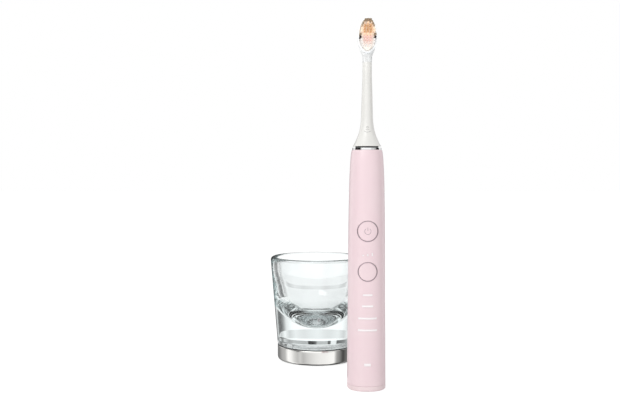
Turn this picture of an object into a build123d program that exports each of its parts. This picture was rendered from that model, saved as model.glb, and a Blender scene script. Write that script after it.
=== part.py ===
"""Electric toothbrush with its charging glass and round charging base, one solid per piece.

Units are millimetres and +Z is up. The origin is the centre of the charging base's underside,
on the surface that everything stands on, and the front of the object faces -Y. The toothbrush
stands on its own foot beside the glass, and its pieces are modelled on its own axis.
"""

from build123d import *
import math
import os

# ---------------------------------------------------------------- driving dimensions
# Where the toothbrush stands, measured from the centre of the charging base.
brush_x = 34.0
brush_y = -92.0

# Clearances.
press_gap = 0.05  # pieces pressed or glued together
slip_gap = 0.15  # pieces that slide together once, when they are assembled
running_gap = 0.04  # shaft in its bushes, radial
button_gap = 0.15  # button cap inside its ring, radial
skirt_gap = 1.0  # brush head above the handle's collar

# Handle: a soft superellipse section that narrows towards a small round collar.
handle_width = 26.8  # at the foot
handle_depth = 29.2
handle_height = 165.2
handle_power = 2.3
handle_wall = 1.7
loft_steps = 12
# Drop below the top of the handle, and how much each half axis has narrowed there. Below the
# first of them the taper is straight.
handle_taper = ((46.0, 0.86), (34.0, 1.1), (23.0, 1.34), (16.0, 1.6), (10.0, 1.9), (5.0, 2.27), (0.0, 2.9))
top_edge_radius = 0.7
top_wall = 2.5

# Base cap and its seal.
cap_height = 3.7
cap_floor = 2.2
cap_corner_radius = 1.0
cap_seam = 0.12
spigot_height = 5.3
spigot_wall = 1.6
seal_height = 1.2
seal_depth = 0.6
seal_drop = 1.6

# Chrome collar and shaft seal at the top of the handle.
collar_height = 1.5
collar_radius = 10.0
collar_waist = 0.25
collar_spigot_radius = 8.0
collar_spigot_length = 3.5
collar_bore_radius = 5.2
seal_foot_height = 1.0  # above the bottom of the collar's spigot
seal_lip_radius = 7.9
seal_lip_height = 1.1
seal_cone_height = 1.4
seal_wall = 0.7
seal_relief = 1.6  # length of the cone's tip that wipes the shaft

# Buttons, their rings and the switches behind them.
power_button_height = 110.0
power_ring_radius = 7.25
mode_button_height = 82.4
mode_ring_radius = 6.74
ring_width = 0.45
button_depth = 2.9
button_tab_width = 5.0
button_tab_reach = 1.2
button_tab_thickness = 0.8
button_tab_gap = 0.3
button_travel = 0.4
plunger_radius = 1.5
switch_size = 4.0
switch_height = 0.9
switch_stem_radius = 0.9
switch_stem_height = 0.5
switch_stem_depth = 0.2

# Lit windows: height on the handle, width, and the bar's own height.
mode_bars = ((66.5, 6.6), (58.9, 7.6), (50.5, 12.6), (42.4, 13.1))
mode_bar_height = 1.3
battery_light_height = 18.65
battery_light_size = (4.5, 1.9)
intensity_height = 94.2
intensity_pitch = 3.1
intensity_width = 0.9
intensity_sizes = (0.9, 1.5, 2.1)
light_cell_margin = 0.4
light_box_margin = 1.6
light_box_width = 15.2
light_box_gap = 0.2
led_size = (1.6, 1.0)
led_height = 0.6

# Circuit board of the handle.
board_width = 13.8
board_thickness = 1.0
board_bottom = 11.4
board_spare = 12.0  # board above its highest button or screw
board_setback = 3.5  # inner face of the front wall to the board
# Chips on the back of the board: height on the handle, width and length.
board_chips = ((27.0, 5.0, 5.0), (39.0, 7.0, 7.0), (54.0, 4.0, 3.0), (66.0, 3.0, 2.5), (97.0, 6.0, 4.0))
chip_height = 1.1

# Inner frame.
frame_gap = 0.25
shaft_hole_gap = 1.5
bulkhead_thickness = 1.4
spine_width = 6.0
spine_thickness = 1.2
spine_gap = 0.3
screw_x = 4.8
screw_drop = 0.5
screw_boss_radius = 1.6
screw_boss_length = 2.6
screw_head_radius = 1.4
screw_head_height = 0.8
screw_shank_radius = 0.7
screw_length = 3.2

# Charging coil in the foot of the handle.
coil_core_radius = 2.9
bobbin_wall = 0.8
bobbin_flange_radius = 8.2
bobbin_flange_thickness = 1.0
bobbin_height = 9.8
coil_radius = 7.6

# Battery cell and its tabs.
cell_radius = 7.0
cell_length = 50.0
cell_bottom = 20.0
cell_edge_radius = 0.6
cell_offset = 1.6  # axis of the cell behind the axis of the handle
cell_cap_radius = 3.0
cell_cap_height = 0.5
tab_thickness = 0.2
tab_width = 4.0

# Resonant motor.
motor_drop = 14.0  # top of the motor below the top of the handle
motor_length = 42.0
motor_can_radius = 8.1
motor_can_wall = 0.45
end_plate_thickness = 2.0
stack_length = 20.0
core_wall = 1.0
pole_width = 5.0
air_gap = 0.4
winding_overhang = 2.5
winding_width = 1.7
winding_setback = 0.2  # behind the face of the pole
bush_radius = 3.5
bush_length = 4.0
magnet_thickness = 1.15
magnet_angle = 100.0
yoke_radius = 3.0

# Drive shaft and the torsion bar that returns it.
shaft_radius = 2.0
shaft_above_handle = 22.0
shaft_below_motor = 1.5
shaft_chamfer = 0.4
shaft_flat = 0.5
shaft_flat_length = 16.0
bar_radius = 0.9
bar_free_length = 13.0
bar_grip = 7.0
anchor_radius = 4.0
anchor_height = 5.0

# Brush head: height of each section above the skirt's foot, its half width, and how far it
# reaches forward and back.
neck_sections = (
    (0.0, 9.8, 9.8, 9.8),
    (1.6, 8.72, 8.75, 8.75),
    (4.3, 7.54, 7.6, 7.6),
    (7.1, 6.34, 6.45, 6.45),
    (9.8, 5.47, 5.6, 5.6),
    (12.5, 4.82, 5.0, 5.0),
    (15.3, 4.4, 4.65, 4.65),
    (18.0, 4.15, 4.45, 4.45),
    (26.2, 3.88, 4.1, 4.1),
    (37.1, 3.57, 3.55, 3.6),
    (50.0, 3.2, 2.8, 3.0),
    (56.0, 3.17, 2.35, 2.75),
    (61.4, 3.4, 1.95, 2.55),
    (63.8, 4.2, 1.85, 2.5),
    (65.9, 5.0, 1.8, 2.45),
    (68.0, 5.3, 1.75, 2.4),
)
neck_steps = 34
skirt_wall = 1.4
skirt_hollow_height = 8.2
skirt_hollow_top_radius = 4.6
insert_radius = 3.2
insert_length = 15.0
insert_below_bore = 2.0
grip_spring_thickness = 0.3
grip_spring_width = 1.6
grip_spring_length = 10.0
tag_thickness = 0.6
tag_width = 1.8
tag_height = 1.7

# Oval head. Half outline from foot to tip: height above the foot of the oval, half width.
head_foot = 63.7  # above the skirt's foot
head_outline = ((1.6, 3.3), (4.6, 5.6), (11.0, 6.65), (17.6, 5.75), (21.6, 3.75))
head_length = 24.0
head_back = 2.5
head_split = 1.1
head_front = 1.8
head_back_radius = 1.1
surround_wall = 0.9
surround_rise = 1.2
plate_inset = 1.9
plate_thickness = 1.2

# Bristle tufts, in rows up the head.
tuft_radius = 0.74
tuft_pitch = 1.85
tuft_row_pitch = 1.9
tuft_edge = 2.05
tuft_first_row = 4.3
tuft_length = 8.5
outer_tuft_length = 9.2
side_tuft_length = 7.4
tuft_colour_split = 11.4
side_tuft_height = 11.0

# Charging base.
base_radius = 31.0
base_height = 12.0
base_corner_radius = 2.3
base_top_bevel = 0.3
base_shell_wall = 0.8
base_lift = 0.5  # metal above the surface
base_lip_width = 3.1  # rolled-in edge, from the outside of the base
foot_margin = 1.9  # from the edge of the lip to the rubber pad
foot_recess = 0.6
cover_thickness = 1.5
top_plate_thickness = 1.4
locating_disc_height = 1.0
recess_gap = 0.6  # glass recess round the locating disc
seat_ring_inset = 0.4
seat_ring_width = 3.6
seat_ring_thickness = 0.4
post_radius = 2.6
post_inset = 5.2  # from the outside of the base
post_count = 3
base_screw_radius = 1.1
base_screw_head_radius = 2.0
base_screw_head_height = 0.8
base_screw_length = 6.0
base_screw_spare = 1.1  # hole beyond the tip of the screw
standoff_radius = 1.6
standoff_circle = 15.0
base_board_radius = 21.0
base_board_thickness = 1.0
base_board_height = 3.4
# Blocks on the board: their x range, y range and height. Then the capacitors' places.
base_board_blocks = (
    ((-3.5, 3.5), (-11.0, -4.0), 1.1),
    ((-13.0, -8.0), (2.0, 8.0), 1.6),
    ((-4.0, 4.0), (13.0, 18.0), 2.0),
)
capacitor_places = ((9.0, -6.0), (11.0, 1.0))
capacitor_radius = 2.2
capacitor_height = 2.0
ferrite_radius = 21.6
ferrite_thickness = 1.4
primary_inner_radius = 9.0
primary_outer_radius = 20.5
primary_thickness = 2.2
well_wall = 1.0
gland_height = 5.6
gland_radius = 2.6
gland_flange = 1.0
gland_flange_thickness = 0.9
gland_bore_radius = 1.7

# Glass.
glass_flare = 5.6  # rim beyond foot, which is as wide as the base
glass_height = 69.7
glass_rim_wall = 3.3
glass_foot_edge_radius = 1.3
glass_rim_lean = 0.15  # of the inner wall, at the rim
glass_base_thickness = 8.2
glass_recess_depth = 1.4
# Bowl: height above its lowest point, and thickness of the glass there, out to the outer wall.
bowl_walls = ((2.0, 19.3), (8.1, 13.3), (17.4, 8.7), (30.3, 6.1), (48.9, 4.4))

# ---------------------------------------------------------------- worked out from them
cavity_top = handle_height - top_wall
half_depth_inside = handle_depth / 2 - handle_wall
board_front = -(half_depth_inside - board_setback)
board_back = board_front + board_thickness
motor_top = handle_height - motor_drop
motor_bottom = motor_top - motor_length
motor_middle = (motor_top + motor_bottom) / 2
board_top = max(power_button_height, motor_bottom) + board_spare
stator_radius = motor_can_radius - motor_can_wall - press_gap
rotor_radius = yoke_radius + press_gap + magnet_thickness
pole_radius = rotor_radius + air_gap
shaft_bottom = motor_bottom - shaft_below_motor
shaft_top = handle_height + shaft_above_handle
bar_bottom = shaft_bottom - bar_free_length
anchor_bottom = bar_bottom - press_gap
spine_front = max(cell_offset + cell_radius, motor_can_radius) + spine_gap
cell_y = spine_front - spine_gap - cell_radius
cell_top = cell_bottom + cell_length
skirt_foot = handle_height + collar_height + skirt_gap
head_floor = skirt_foot + head_foot
base_lip_radius = base_radius - base_lip_width
foot_radius = base_lip_radius - foot_margin
post_circle = base_radius - post_inset
seat_ring_outer_radius = base_radius - seat_ring_inset
glass_recess_radius = seat_ring_outer_radius - seat_ring_width
locating_disc_radius = glass_recess_radius - recess_gap
glass_foot_radius = base_radius
glass_rim_radius = glass_foot_radius + glass_flare
deck_height = base_height + seat_ring_thickness  # what the glass stands on
bowl_bottom = deck_height + glass_base_thickness
glass_top = deck_height + glass_height


# ---------------------------------------------------------------- shape helpers
def disc(radius, bottom, top):
    """Upright cylinder on the Z axis between two heights."""
    return Pos(0, 0, (bottom + top) / 2) * Cylinder(radius, top - bottom)


def tube(outer, inner, bottom, top):
    """Upright ring on the Z axis between two heights."""
    return disc(outer, bottom, top) - disc(inner, bottom - 1, top + 1)


def block(x_range, y_range, z_range):
    """Box between the given limits."""
    sizes = [high - low for low, high in (x_range, y_range, z_range)]
    centre = [(low + high) / 2 for low, high in (x_range, y_range, z_range)]
    return Pos(*centre) * Box(*sizes)


def front_disc(radius, x, z, y_range):
    """Cylinder along Y, between two depths."""
    low, high = y_range
    return Pos(x, (low + high) / 2, z) * Rot(90, 0, 0) * Cylinder(radius, high - low)


def turned(points):
    """Solid of revolution about Z from a closed outline of (radius, height) points."""
    outline = Polyline(*[(radius, 0, height) for radius, height in points], close=True)
    return revolve(make_face(outline), Axis.Z)


def superellipse(half_x, half_y, z, power=handle_power, count=16):
    """Flat face of a superellipse at height z."""
    points = []
    for index in range(count):
        angle = 2 * math.pi * index / count
        across = math.copysign(abs(math.cos(angle)) ** (2 / power), math.cos(angle))
        along = math.copysign(abs(math.sin(angle)) ** (2 / power), math.sin(angle))
        points.append((half_x * across, half_y * along, z))
    return make_face(Spline(*points, periodic=True))


def smooth_value(stations, place):
    """Value at a place on a smooth curve through (place, value) stations, without overshoot."""
    places = [station[0] for station in stations]
    values = [station[1] for station in stations]
    rises = [(values[i + 1] - values[i]) / (places[i + 1] - places[i]) for i in range(len(stations) - 1)]
    slopes = [rises[0]]
    for before, after in zip(rises, rises[1:]):
        slopes.append(2 * before * after / (before + after) if before * after > 0 else 0.0)
    slopes.append(rises[-1])
    index = 0
    while index < len(rises) - 1 and place > places[index + 1]:
        index += 1
    span = places[index + 1] - places[index]
    t = (place - places[index]) / span
    start = (2 * t**3 - 3 * t**2 + 1) * values[index] + (t**3 - 2 * t**2 + t) * span * slopes[index]
    end = (3 * t**2 - 2 * t**3) * values[index + 1] + (t**3 - t**2) * span * slopes[index + 1]
    return start + end


def narrowing(z):
    """How much each half axis of the handle has narrowed at height z."""
    stations = [(handle_height - drop, amount) for drop, amount in handle_taper]
    trunk_top, trunk_narrowing = stations[0]
    if z < trunk_top:
        return trunk_narrowing * z / trunk_top
    return smooth_value(stations, z)


def handle_section(inset, z):
    """Section of the handle at height z, drawn in from its outside by inset."""
    narrow = narrowing(z) + inset
    return superellipse(handle_width / 2 - narrow, handle_depth / 2 - narrow, z)


def handle_shoulder(inset, top):
    """Narrowing upper part of the handle's form, drawn in by inset."""
    bottom = handle_height - handle_taper[0][0]
    levels = [bottom + (top - bottom) * step / loft_steps for step in range(loft_steps + 1)]
    return loft([handle_section(inset, level) for level in levels])


def handle_trunk(inset, bottom):
    """Evenly tapered lower part of the handle's form, drawn in by inset."""
    top = handle_height - handle_taper[0][0]
    return loft([handle_section(inset, bottom), handle_section(inset, top)], ruled=True)


def handle_slice(inset, bottom, top):
    """Straight slice of the handle's section between two heights, taken where it is narrowest."""
    narrow = max(narrowing(bottom), narrowing(top)) + inset
    face = superellipse(handle_width / 2 - narrow, handle_depth / 2 - narrow, bottom)
    return extrude(face, amount=top - bottom, dir=(0, 0, 1))


# ---------------------------------------------------------------- handle shell
def window_places():
    """Lit windows of each group, as (x, z, width, height)."""
    intensity = []
    for index, height in enumerate(intensity_sizes):
        z = intensity_height - (intensity_sizes[-1] - height) / 2
        intensity.append(((index - 1) * intensity_pitch, z, intensity_width, height))
    return {
        "mode_windows": [(0, z, width, mode_bar_height) for z, width in mode_bars],
        "battery_window": [(0, battery_light_height, *battery_light_size)],
        "intensity_windows": intensity,
    }


def window_shapes(grow):
    """Prisms of the lit windows, by group, each grown all round by grow."""
    shapes = {}
    for name, places in window_places().items():
        shapes[name] = []
        for x, z, width, height in places:
            x_range = (x - width / 2 - grow, x + width / 2 + grow)
            z_range = (z - height / 2 - grow, z + height / 2 + grow)
            shapes[name].append(block(x_range, (-handle_depth, board_front), z_range))
    return shapes


def make_handle_skin():
    """Whole outer wall of the handle above the base cap, before anything is cut in it."""
    shoulder = handle_shoulder(0, handle_height)
    shoulder = fillet(shoulder.edges().group_by(Axis.Z)[-1], top_edge_radius)
    shoulder -= handle_shoulder(handle_wall, cavity_top)
    return shoulder + (handle_trunk(0, cap_height) - handle_trunk(handle_wall, cap_height))


def make_handle_housing(skin):
    """Moulded shell with its holes for the buttons, the lit windows and the collar."""
    housing = skin - disc(collar_spigot_radius + press_gap, cavity_top - 1, handle_height + 1)
    rings = ((power_button_height, power_ring_radius), (mode_button_height, mode_ring_radius))
    for height, radius in rings:
        housing -= front_disc(radius + press_gap, 0, height, (-handle_depth, board_front))
    for group in window_shapes(press_gap).values():
        for shape in group:
            housing -= shape
    return housing


def make_windows(skin):
    """Clear inserts, flush with the handle, that the lights shine through."""
    return {name: Compound([skin & shape for shape in group]) for name, group in window_shapes(0).items()}


def make_button_ring(skin, height, radius):
    """Thin metal ring let into the handle around a button."""
    ring = front_disc(radius, 0, height, (-handle_depth, board_front))
    ring -= front_disc(radius - ring_width, 0, height, (-handle_depth, board_front))
    return skin & ring


def make_button(height, ring_radius):
    """Button cap, flush with the handle, with two retaining tabs and a plunger behind it."""
    radius = ring_radius - ring_width - button_gap
    back = -handle_depth / 2 + button_depth
    cap = handle_trunk(0, cap_height) & front_disc(radius, 0, height, (-handle_depth, back))
    tab_reach = ring_radius + button_tab_reach
    tab_front = -half_depth_inside + narrowing(height + tab_reach) + button_tab_gap
    cap += block(
        (-button_tab_width / 2, button_tab_width / 2),
        (tab_front, tab_front + button_tab_thickness),
        (height - tab_reach, height + tab_reach),
    )
    stem_front = board_front - switch_height - switch_stem_height
    return cap + front_disc(plunger_radius, 0, height, (back - button_depth / 2, stem_front))


def make_switch_stem(height):
    """Stem of a switch, which goes into the switch as the button is pressed."""
    switch_front = board_front - switch_height
    y_range = (switch_front - switch_stem_height, switch_front + switch_stem_depth)
    return front_disc(switch_stem_radius, 0, height, y_range)


def make_base_cap():
    """Foot of the handle: rounded cap with a spigot that plugs into the housing."""
    plate = extrude(handle_section(0, 0), amount=cap_height - cap_seam, dir=(0, 0, 1))
    plate = fillet(plate.edges().group_by(Axis.Z)[0], cap_corner_radius)
    plate -= handle_slice(handle_wall + slip_gap + spigot_wall, cap_floor, cap_height + 1)
    top = cap_height + spigot_height
    spigot = handle_slice(handle_wall + slip_gap, cap_floor + 0.5, top)
    spigot -= handle_slice(handle_wall + slip_gap + spigot_wall, cap_floor, top + 1)
    groove_range = (top - seal_drop - seal_height, top - seal_drop)
    groove = handle_slice(handle_wall - 1, *groove_range)
    groove -= handle_slice(handle_wall + slip_gap + seal_depth, *groove_range)
    return plate + spigot - groove


def make_cap_seal():
    """Seal ring in the groove of the base cap's spigot."""
    top = cap_height + spigot_height - seal_drop - press_gap
    bottom = top - seal_height + 2 * press_gap
    seal = handle_slice(handle_wall + press_gap, bottom, top)
    return seal - handle_slice(handle_wall + slip_gap + seal_depth - press_gap, bottom - 1, top + 1)


def make_top_collar():
    """Chrome ring between the handle and the brush head, slightly waisted."""
    low = handle_height
    high = low + collar_height
    waist = (collar_radius - collar_waist, 0, (low + high) / 2)
    side = ThreePointArc((collar_radius, 0, low), waist, (collar_radius, 0, high))
    spigot = low - collar_spigot_length
    rest = Polyline(
        (collar_radius, 0, high),
        (collar_bore_radius, 0, high),
        (collar_bore_radius, 0, spigot),
        (collar_spigot_radius, 0, spigot),
        (collar_spigot_radius, 0, low),
        (collar_radius, 0, low),
    )
    return revolve(make_face(side + rest), Axis.Z)


def make_shaft_seal():
    """Rubber seal: a plug in the collar, a lip that covers its top and a cone that wipes the shaft."""
    foot = handle_height - collar_spigot_length + seal_foot_height
    lip_bottom = handle_height + collar_height + press_gap
    lip_top = lip_bottom + seal_lip_height
    tip = lip_top + seal_cone_height
    plug = collar_bore_radius - press_gap
    bore = shaft_radius + running_gap
    return turned((
        (bore + seal_wall, foot),
        (plug, foot),
        (plug, lip_bottom),
        (seal_lip_radius, lip_bottom),
        (seal_lip_radius, lip_top),
        (bore + 2 * seal_wall, lip_top),
        (bore + seal_wall, tip),
        (bore, tip),
        (bore, tip - seal_relief),
        (bore + seal_wall, tip - seal_relief - seal_wall),
    ))


# ---------------------------------------------------------------- inside the handle
def bulkhead_bottoms():
    """Underside of each bulkhead of the inner frame."""
    return {
        "coil": cap_floor + bobbin_height + press_gap,
        "cell_foot": cell_bottom - tab_thickness - press_gap - bulkhead_thickness,
        "cell_head": cell_top + cell_cap_height + tab_thickness + 2 * press_gap,
        "anchor": anchor_bottom - bulkhead_thickness,
        "motor_foot": motor_bottom - bulkhead_thickness,
        "motor_head": motor_top,
    }


def screw_heights():
    """Heights of the screws that hold the board to the frame."""
    levels = bulkhead_bottoms()
    return [levels[name] - screw_drop for name in ("cell_foot", "cell_head", "motor_foot")]


def make_inner_frame():
    """Moulded carrier: a spine up the back with a bulkhead at each end of what it holds."""
    frame = block(
        (-spine_width / 2, spine_width / 2),
        (spine_front, spine_front + spine_thickness),
        (cap_floor, motor_top + bulkhead_thickness),
    )
    for bottom in bulkhead_bottoms().values():
        plate = handle_slice(handle_wall + frame_gap, bottom, bottom + bulkhead_thickness)
        behind_board = block((-handle_width, handle_width), (board_back, handle_depth), (0, handle_height))
        frame += plate & behind_board
    for height in screw_heights():
        boss_end = board_back + screw_boss_length
        frame += front_disc(screw_boss_radius, screw_x, height, (board_back, boss_end))
        frame -= front_disc(screw_shank_radius + press_gap, screw_x, height, (board_back - 1, boss_end + 1))
    middle = cell_bottom + cell_length / 2
    cradle = handle_slice(handle_wall + frame_gap, middle - bulkhead_thickness, middle + bulkhead_thickness)
    cradle &= block((-handle_width, handle_width), (cell_y, handle_depth), (0, handle_height))
    frame += cradle - Pos(0, cell_y, 0) * disc(cell_radius + press_gap, cell_bottom, cell_top)
    levels = bulkhead_bottoms()
    for name in ("motor_foot", "motor_head"):
        shaft_hole = shaft_radius + shaft_hole_gap
        frame -= disc(shaft_hole, levels[name] - 1, levels[name] + bulkhead_thickness + 1)
    return frame


def make_board():
    """Long circuit board behind the front wall, with its screw holes."""
    board = block((-board_width / 2, board_width / 2), (board_front, board_back), (board_bottom, board_top))
    hole_range = (board_front - 1, board_back + 1)
    for height in screw_heights():
        board -= front_disc(screw_shank_radius + press_gap, screw_x, height, hole_range)
    return board


def make_board_screws():
    """Screws that hold the board to the frame."""
    screws = []
    for height in screw_heights():
        head_front = board_front - screw_head_height
        head = front_disc(screw_head_radius, screw_x, height, (head_front, board_front))
        shank = front_disc(screw_shank_radius, screw_x, height, (head_front, board_front + screw_length))
        screws.append(head + shank)
    return Compound(screws)


def make_board_components():
    """Chips on the back of the board."""
    chips = []
    for height, width, length in board_chips:
        z_range = (height - length / 2, height + length / 2)
        chips.append(block((-width / 2, width / 2), (board_back, board_back + chip_height), z_range))
    return Compound(chips)


def make_switches():
    """One push switch behind each button."""
    switches = []
    for height in (power_button_height, mode_button_height):
        half = switch_size / 2
        front = board_front - switch_height
        body = block((-half, half), (front, board_front), (height - half, height + half))
        well_end = front + switch_stem_depth + button_travel + press_gap
        switches.append(body - front_disc(switch_stem_radius + press_gap, 0, height, (front - 1, well_end)))
    return Compound(switches)


def make_leds():
    """Lights on the front of the board, one behind each window."""
    width, length = led_size
    leds = []
    y_range = (board_front - led_height, board_front)
    for places in window_places().values():
        for x, z, _, _ in places:
            x_range = (x - width / 2, x + width / 2)
            leds.append(block(x_range, y_range, (z - length / 2, z + length / 2)))
    return Compound(leds)


def make_light_boxes(inside):
    """Dark boxes between board and wall that keep each light to its own window."""
    half = light_box_width / 2
    top_bar = max(z for z, _ in mode_bars)
    ranges = (
        (battery_light_height - light_box_margin - 1, top_bar + light_box_margin),
        (intensity_height - light_box_margin - 1, intensity_height + light_box_margin),
    )
    boxes = [inside & block((-half, half), (-handle_depth, board_front), z_range) for z_range in ranges]
    for group in window_shapes(light_cell_margin).values():
        for shape in group:
            boxes = [box - shape for box in boxes]
    for height in screw_heights():
        head = front_disc(screw_head_radius + slip_gap, screw_x, height, (-handle_depth, board_front))
        boxes = [box - head for box in boxes]
    return Compound(boxes)


def make_coil_bobbin():
    """Spool that holds the charging coil on the floor of the base cap."""
    top = cap_floor + bobbin_height
    inner = coil_core_radius + press_gap
    bobbin = tube(inner + bobbin_wall, inner, cap_floor, top)
    bobbin += tube(bobbin_flange_radius, inner, cap_floor, cap_floor + bobbin_flange_thickness)
    return bobbin + tube(bobbin_flange_radius, inner, top - bobbin_flange_thickness, top)


def make_charging_coil():
    """Copper winding that takes up the charge."""
    bottom = cap_floor + bobbin_flange_thickness + press_gap
    top = cap_floor + bobbin_height - bobbin_flange_thickness - press_gap
    return tube(coil_radius, coil_core_radius + bobbin_wall + 2 * press_gap, bottom, top)


def make_battery_cell():
    """Round cell with its raised contact."""
    cell = fillet(disc(cell_radius, cell_bottom, cell_top).edges(), cell_edge_radius)
    return Pos(0, cell_y, 0) * (cell + disc(cell_cap_radius, cell_top - 0.5, cell_top + cell_cap_height))


def make_battery_tabs():
    """Metal strips from the ends of the cell forward to the board."""
    tabs = []
    levels = (cell_bottom - tab_thickness, cell_top + cell_cap_height)
    for bottom in levels:
        tabs.append(block(
            (-tab_width / 2, tab_width / 2),
            (board_back, cell_y + cell_cap_radius),
            (bottom, bottom + tab_thickness),
        ))
    return Compound(tabs)


def make_motor_can():
    """Steel sleeve round the motor."""
    return tube(motor_can_radius, motor_can_radius - motor_can_wall, motor_bottom, motor_top)


def poles(grow, half_length):
    """The two pole blocks that reach in from the stator's wall."""
    half = pole_width / 2 + grow
    z_range = (motor_middle - half_length, motor_middle + half_length)
    reach = stator_radius - core_wall / 2
    left = block((-reach, -pole_radius / 2), (-half, half), z_range)
    return [left, block((pole_radius / 2, reach), (-half, half), z_range)]


def make_stator_core():
    """Laminated ring with two poles that face the magnets."""
    half_length = stack_length / 2
    bottom = motor_middle - half_length
    core = tube(stator_radius, stator_radius - core_wall, bottom, bottom + stack_length)
    for pole in poles(0, half_length):
        core += pole
    return core - disc(pole_radius, motor_bottom, motor_top)


def make_stator_coils():
    """A copper winding round each pole."""
    half_length = stack_length / 2 + winding_overhang
    room = tube(
        stator_radius - core_wall - press_gap,
        pole_radius + winding_setback,
        motor_middle - half_length,
        motor_middle + half_length,
    )
    outer = poles(winding_width, half_length)
    inner = poles(press_gap, stack_length / 2 + press_gap)
    return Compound([(around & room) - pole for around, pole in zip(outer, inner)])


def make_end_plates():
    """Plates in the two ends of the motor, which hold the bushes."""
    bore = bush_radius + press_gap
    low = tube(stator_radius, bore, motor_bottom, motor_bottom + end_plate_thickness)
    return Compound([low, tube(stator_radius, bore, motor_top - end_plate_thickness, motor_top)])


def make_shaft_bushes():
    """Bronze bush in each end plate."""
    bore = shaft_radius + running_gap
    low = tube(bush_radius, bore, motor_bottom, motor_bottom + bush_length)
    return Compound([low, tube(bush_radius, bore, motor_top - bush_length, motor_top)])


def make_spring_anchor():
    """Block that holds the lower end of the torsion bar to the frame."""
    anchor = disc(anchor_radius, anchor_bottom, anchor_bottom + anchor_height)
    return anchor - disc(bar_radius + press_gap, bar_bottom, anchor_bottom + anchor_height + 1)


def make_torsion_bar():
    """Slender steel bar that twists to bring the shaft back."""
    return disc(bar_radius, bar_bottom, shaft_bottom + bar_grip)


# ---------------------------------------------------------------- drive shaft
def make_drive_shaft():
    """Steel shaft from the motor up into the brush head, with a flat that drives it."""
    shaft = disc(shaft_radius, shaft_bottom, shaft_top)
    shaft = chamfer(shaft.edges().group_by(Axis.Z)[-1], shaft_chamfer)
    shaft -= block(
        (-shaft_radius - 1, shaft_radius + 1),
        (shaft_radius - shaft_flat, shaft_radius + 1),
        (shaft_top - shaft_flat_length, shaft_top + 1),
    )
    return shaft - disc(bar_radius + press_gap, shaft_bottom - 1, shaft_bottom + bar_grip + press_gap)


def make_rotor_yoke():
    """Steel sleeve that carries the magnets on the shaft."""
    half_length = stack_length / 2
    return tube(yoke_radius, shaft_radius + 0.02, motor_middle - half_length, motor_middle + half_length)


def make_rotor_magnets():
    """Two curved magnets on the yoke, facing the poles."""
    bottom = motor_middle - stack_length / 2
    ring = tube(rotor_radius, yoke_radius + press_gap, bottom, bottom + stack_length)
    reach = 2 * rotor_radius * math.tan(math.radians(magnet_angle / 2))
    wedge = Polyline((0, 0, 0), (2 * rotor_radius, -reach, 0), (2 * rotor_radius, reach, 0), close=True)
    sector = Pos(0, 0, motor_bottom) * extrude(make_face(wedge), amount=motor_length, dir=(0, 0, 1))
    return Compound([ring & sector, ring & (Rot(0, 0, 180) * sector)])


# ---------------------------------------------------------------- brush head
def head_oval(inset):
    """Egg-shaped outline of the head as a face in the XZ plane, drawn in by inset."""
    widest = max(half for _, half in head_outline)
    across = 1 - inset / widest
    along = 1 - 2 * inset / head_length
    middle = head_length / 2

    def place(half, height):
        return (half * across, 0, head_floor + middle + (height - middle) * along)

    right = [place(half, height) for height, half in head_outline]
    left = [(-x, y, z) for x, y, z in reversed(right)]
    return make_face(Spline(place(0, 0), *right, place(0, head_length), *left, periodic=True))


def head_slab(inset, back, front):
    """Slab of the head's outline between two depths, counted towards the bristles."""
    return Pos(0, back, 0) * extrude(head_oval(inset), amount=back + front, dir=(0, -1, 0))


def make_brush_neck():
    """Moulded neck: round skirt, slender stem and the oval back of the head."""
    levels = []
    for step in range(neck_steps + 1):
        height = neck_sections[-1][0] * step / neck_steps
        across, forward, back = (
            smooth_value([(section[0], section[column]) for section in neck_sections], height)
            for column in (1, 2, 3)
        )
        oval = make_face(Ellipse(across, (forward + back) / 2).edges())
        levels.append(Pos(0, (back - forward) / 2, skirt_foot + height) * oval)
    neck = loft(levels)
    back = head_slab(0, head_back, -head_split)
    back = fillet(back.edges().group_by(Axis.Y)[-1], head_back_radius)
    neck += back
    neck += head_slab(surround_wall + press_gap, head_split + 0.2, head_front)
    groove = head_slab(-press_gap, head_split, head_front + 5)
    neck -= groove - head_slab(surround_wall + press_gap, head_split + 1, head_front + 6)
    neck -= head_slab(-surround_wall, -head_front, head_front + 5)
    neck -= head_slab(plate_inset, plate_thickness - head_front, head_front + 1)
    hollow_foot = neck_sections[0][1] - skirt_wall
    bore = insert_radius + press_gap
    bore_top = skirt_foot + skirt_hollow_height + insert_length - insert_below_bore + press_gap
    hollow_top = skirt_foot + skirt_hollow_height
    neck -= turned((
        (0, skirt_foot - 1),
        (hollow_foot, skirt_foot - 1),
        (hollow_foot, skirt_foot),
        (skirt_hollow_top_radius, hollow_top),
        (bore, hollow_top),
        (bore, bore_top),
        (0, bore_top),
    ))
    return neck


def make_coupling_insert():
    """Hard insert in the neck that grips the shaft, with a bore that matches its flat."""
    bottom = skirt_foot + skirt_hollow_height - insert_below_bore
    insert = disc(insert_radius, bottom, bottom + insert_length)
    bore = disc(shaft_radius + running_gap, bottom - 1, shaft_top + press_gap)
    flat = shaft_radius - shaft_flat + 2 * running_gap + grip_spring_thickness
    bore -= block((-3, 3), (flat, 3), (bottom - 1, shaft_top + 1))
    return insert - bore


def make_grip_spring():
    """Leaf spring between the insert and the shaft's flat."""
    inner = shaft_radius - shaft_flat + running_gap
    return block(
        (-grip_spring_width / 2, grip_spring_width / 2),
        (inner, inner + grip_spring_thickness),
        (shaft_top - grip_spring_length - 1, shaft_top - 1),
    )


def make_id_tag():
    """Flat antenna ring inside the skirt, read by the handle."""
    share = (tag_height + tag_thickness) / skirt_hollow_height
    hollow_foot = neck_sections[0][1] - skirt_wall
    radius = hollow_foot - (hollow_foot - skirt_hollow_top_radius) * share - press_gap
    bottom = skirt_foot + tag_height
    return tube(radius, radius - tag_width, bottom, bottom + tag_thickness)


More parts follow.
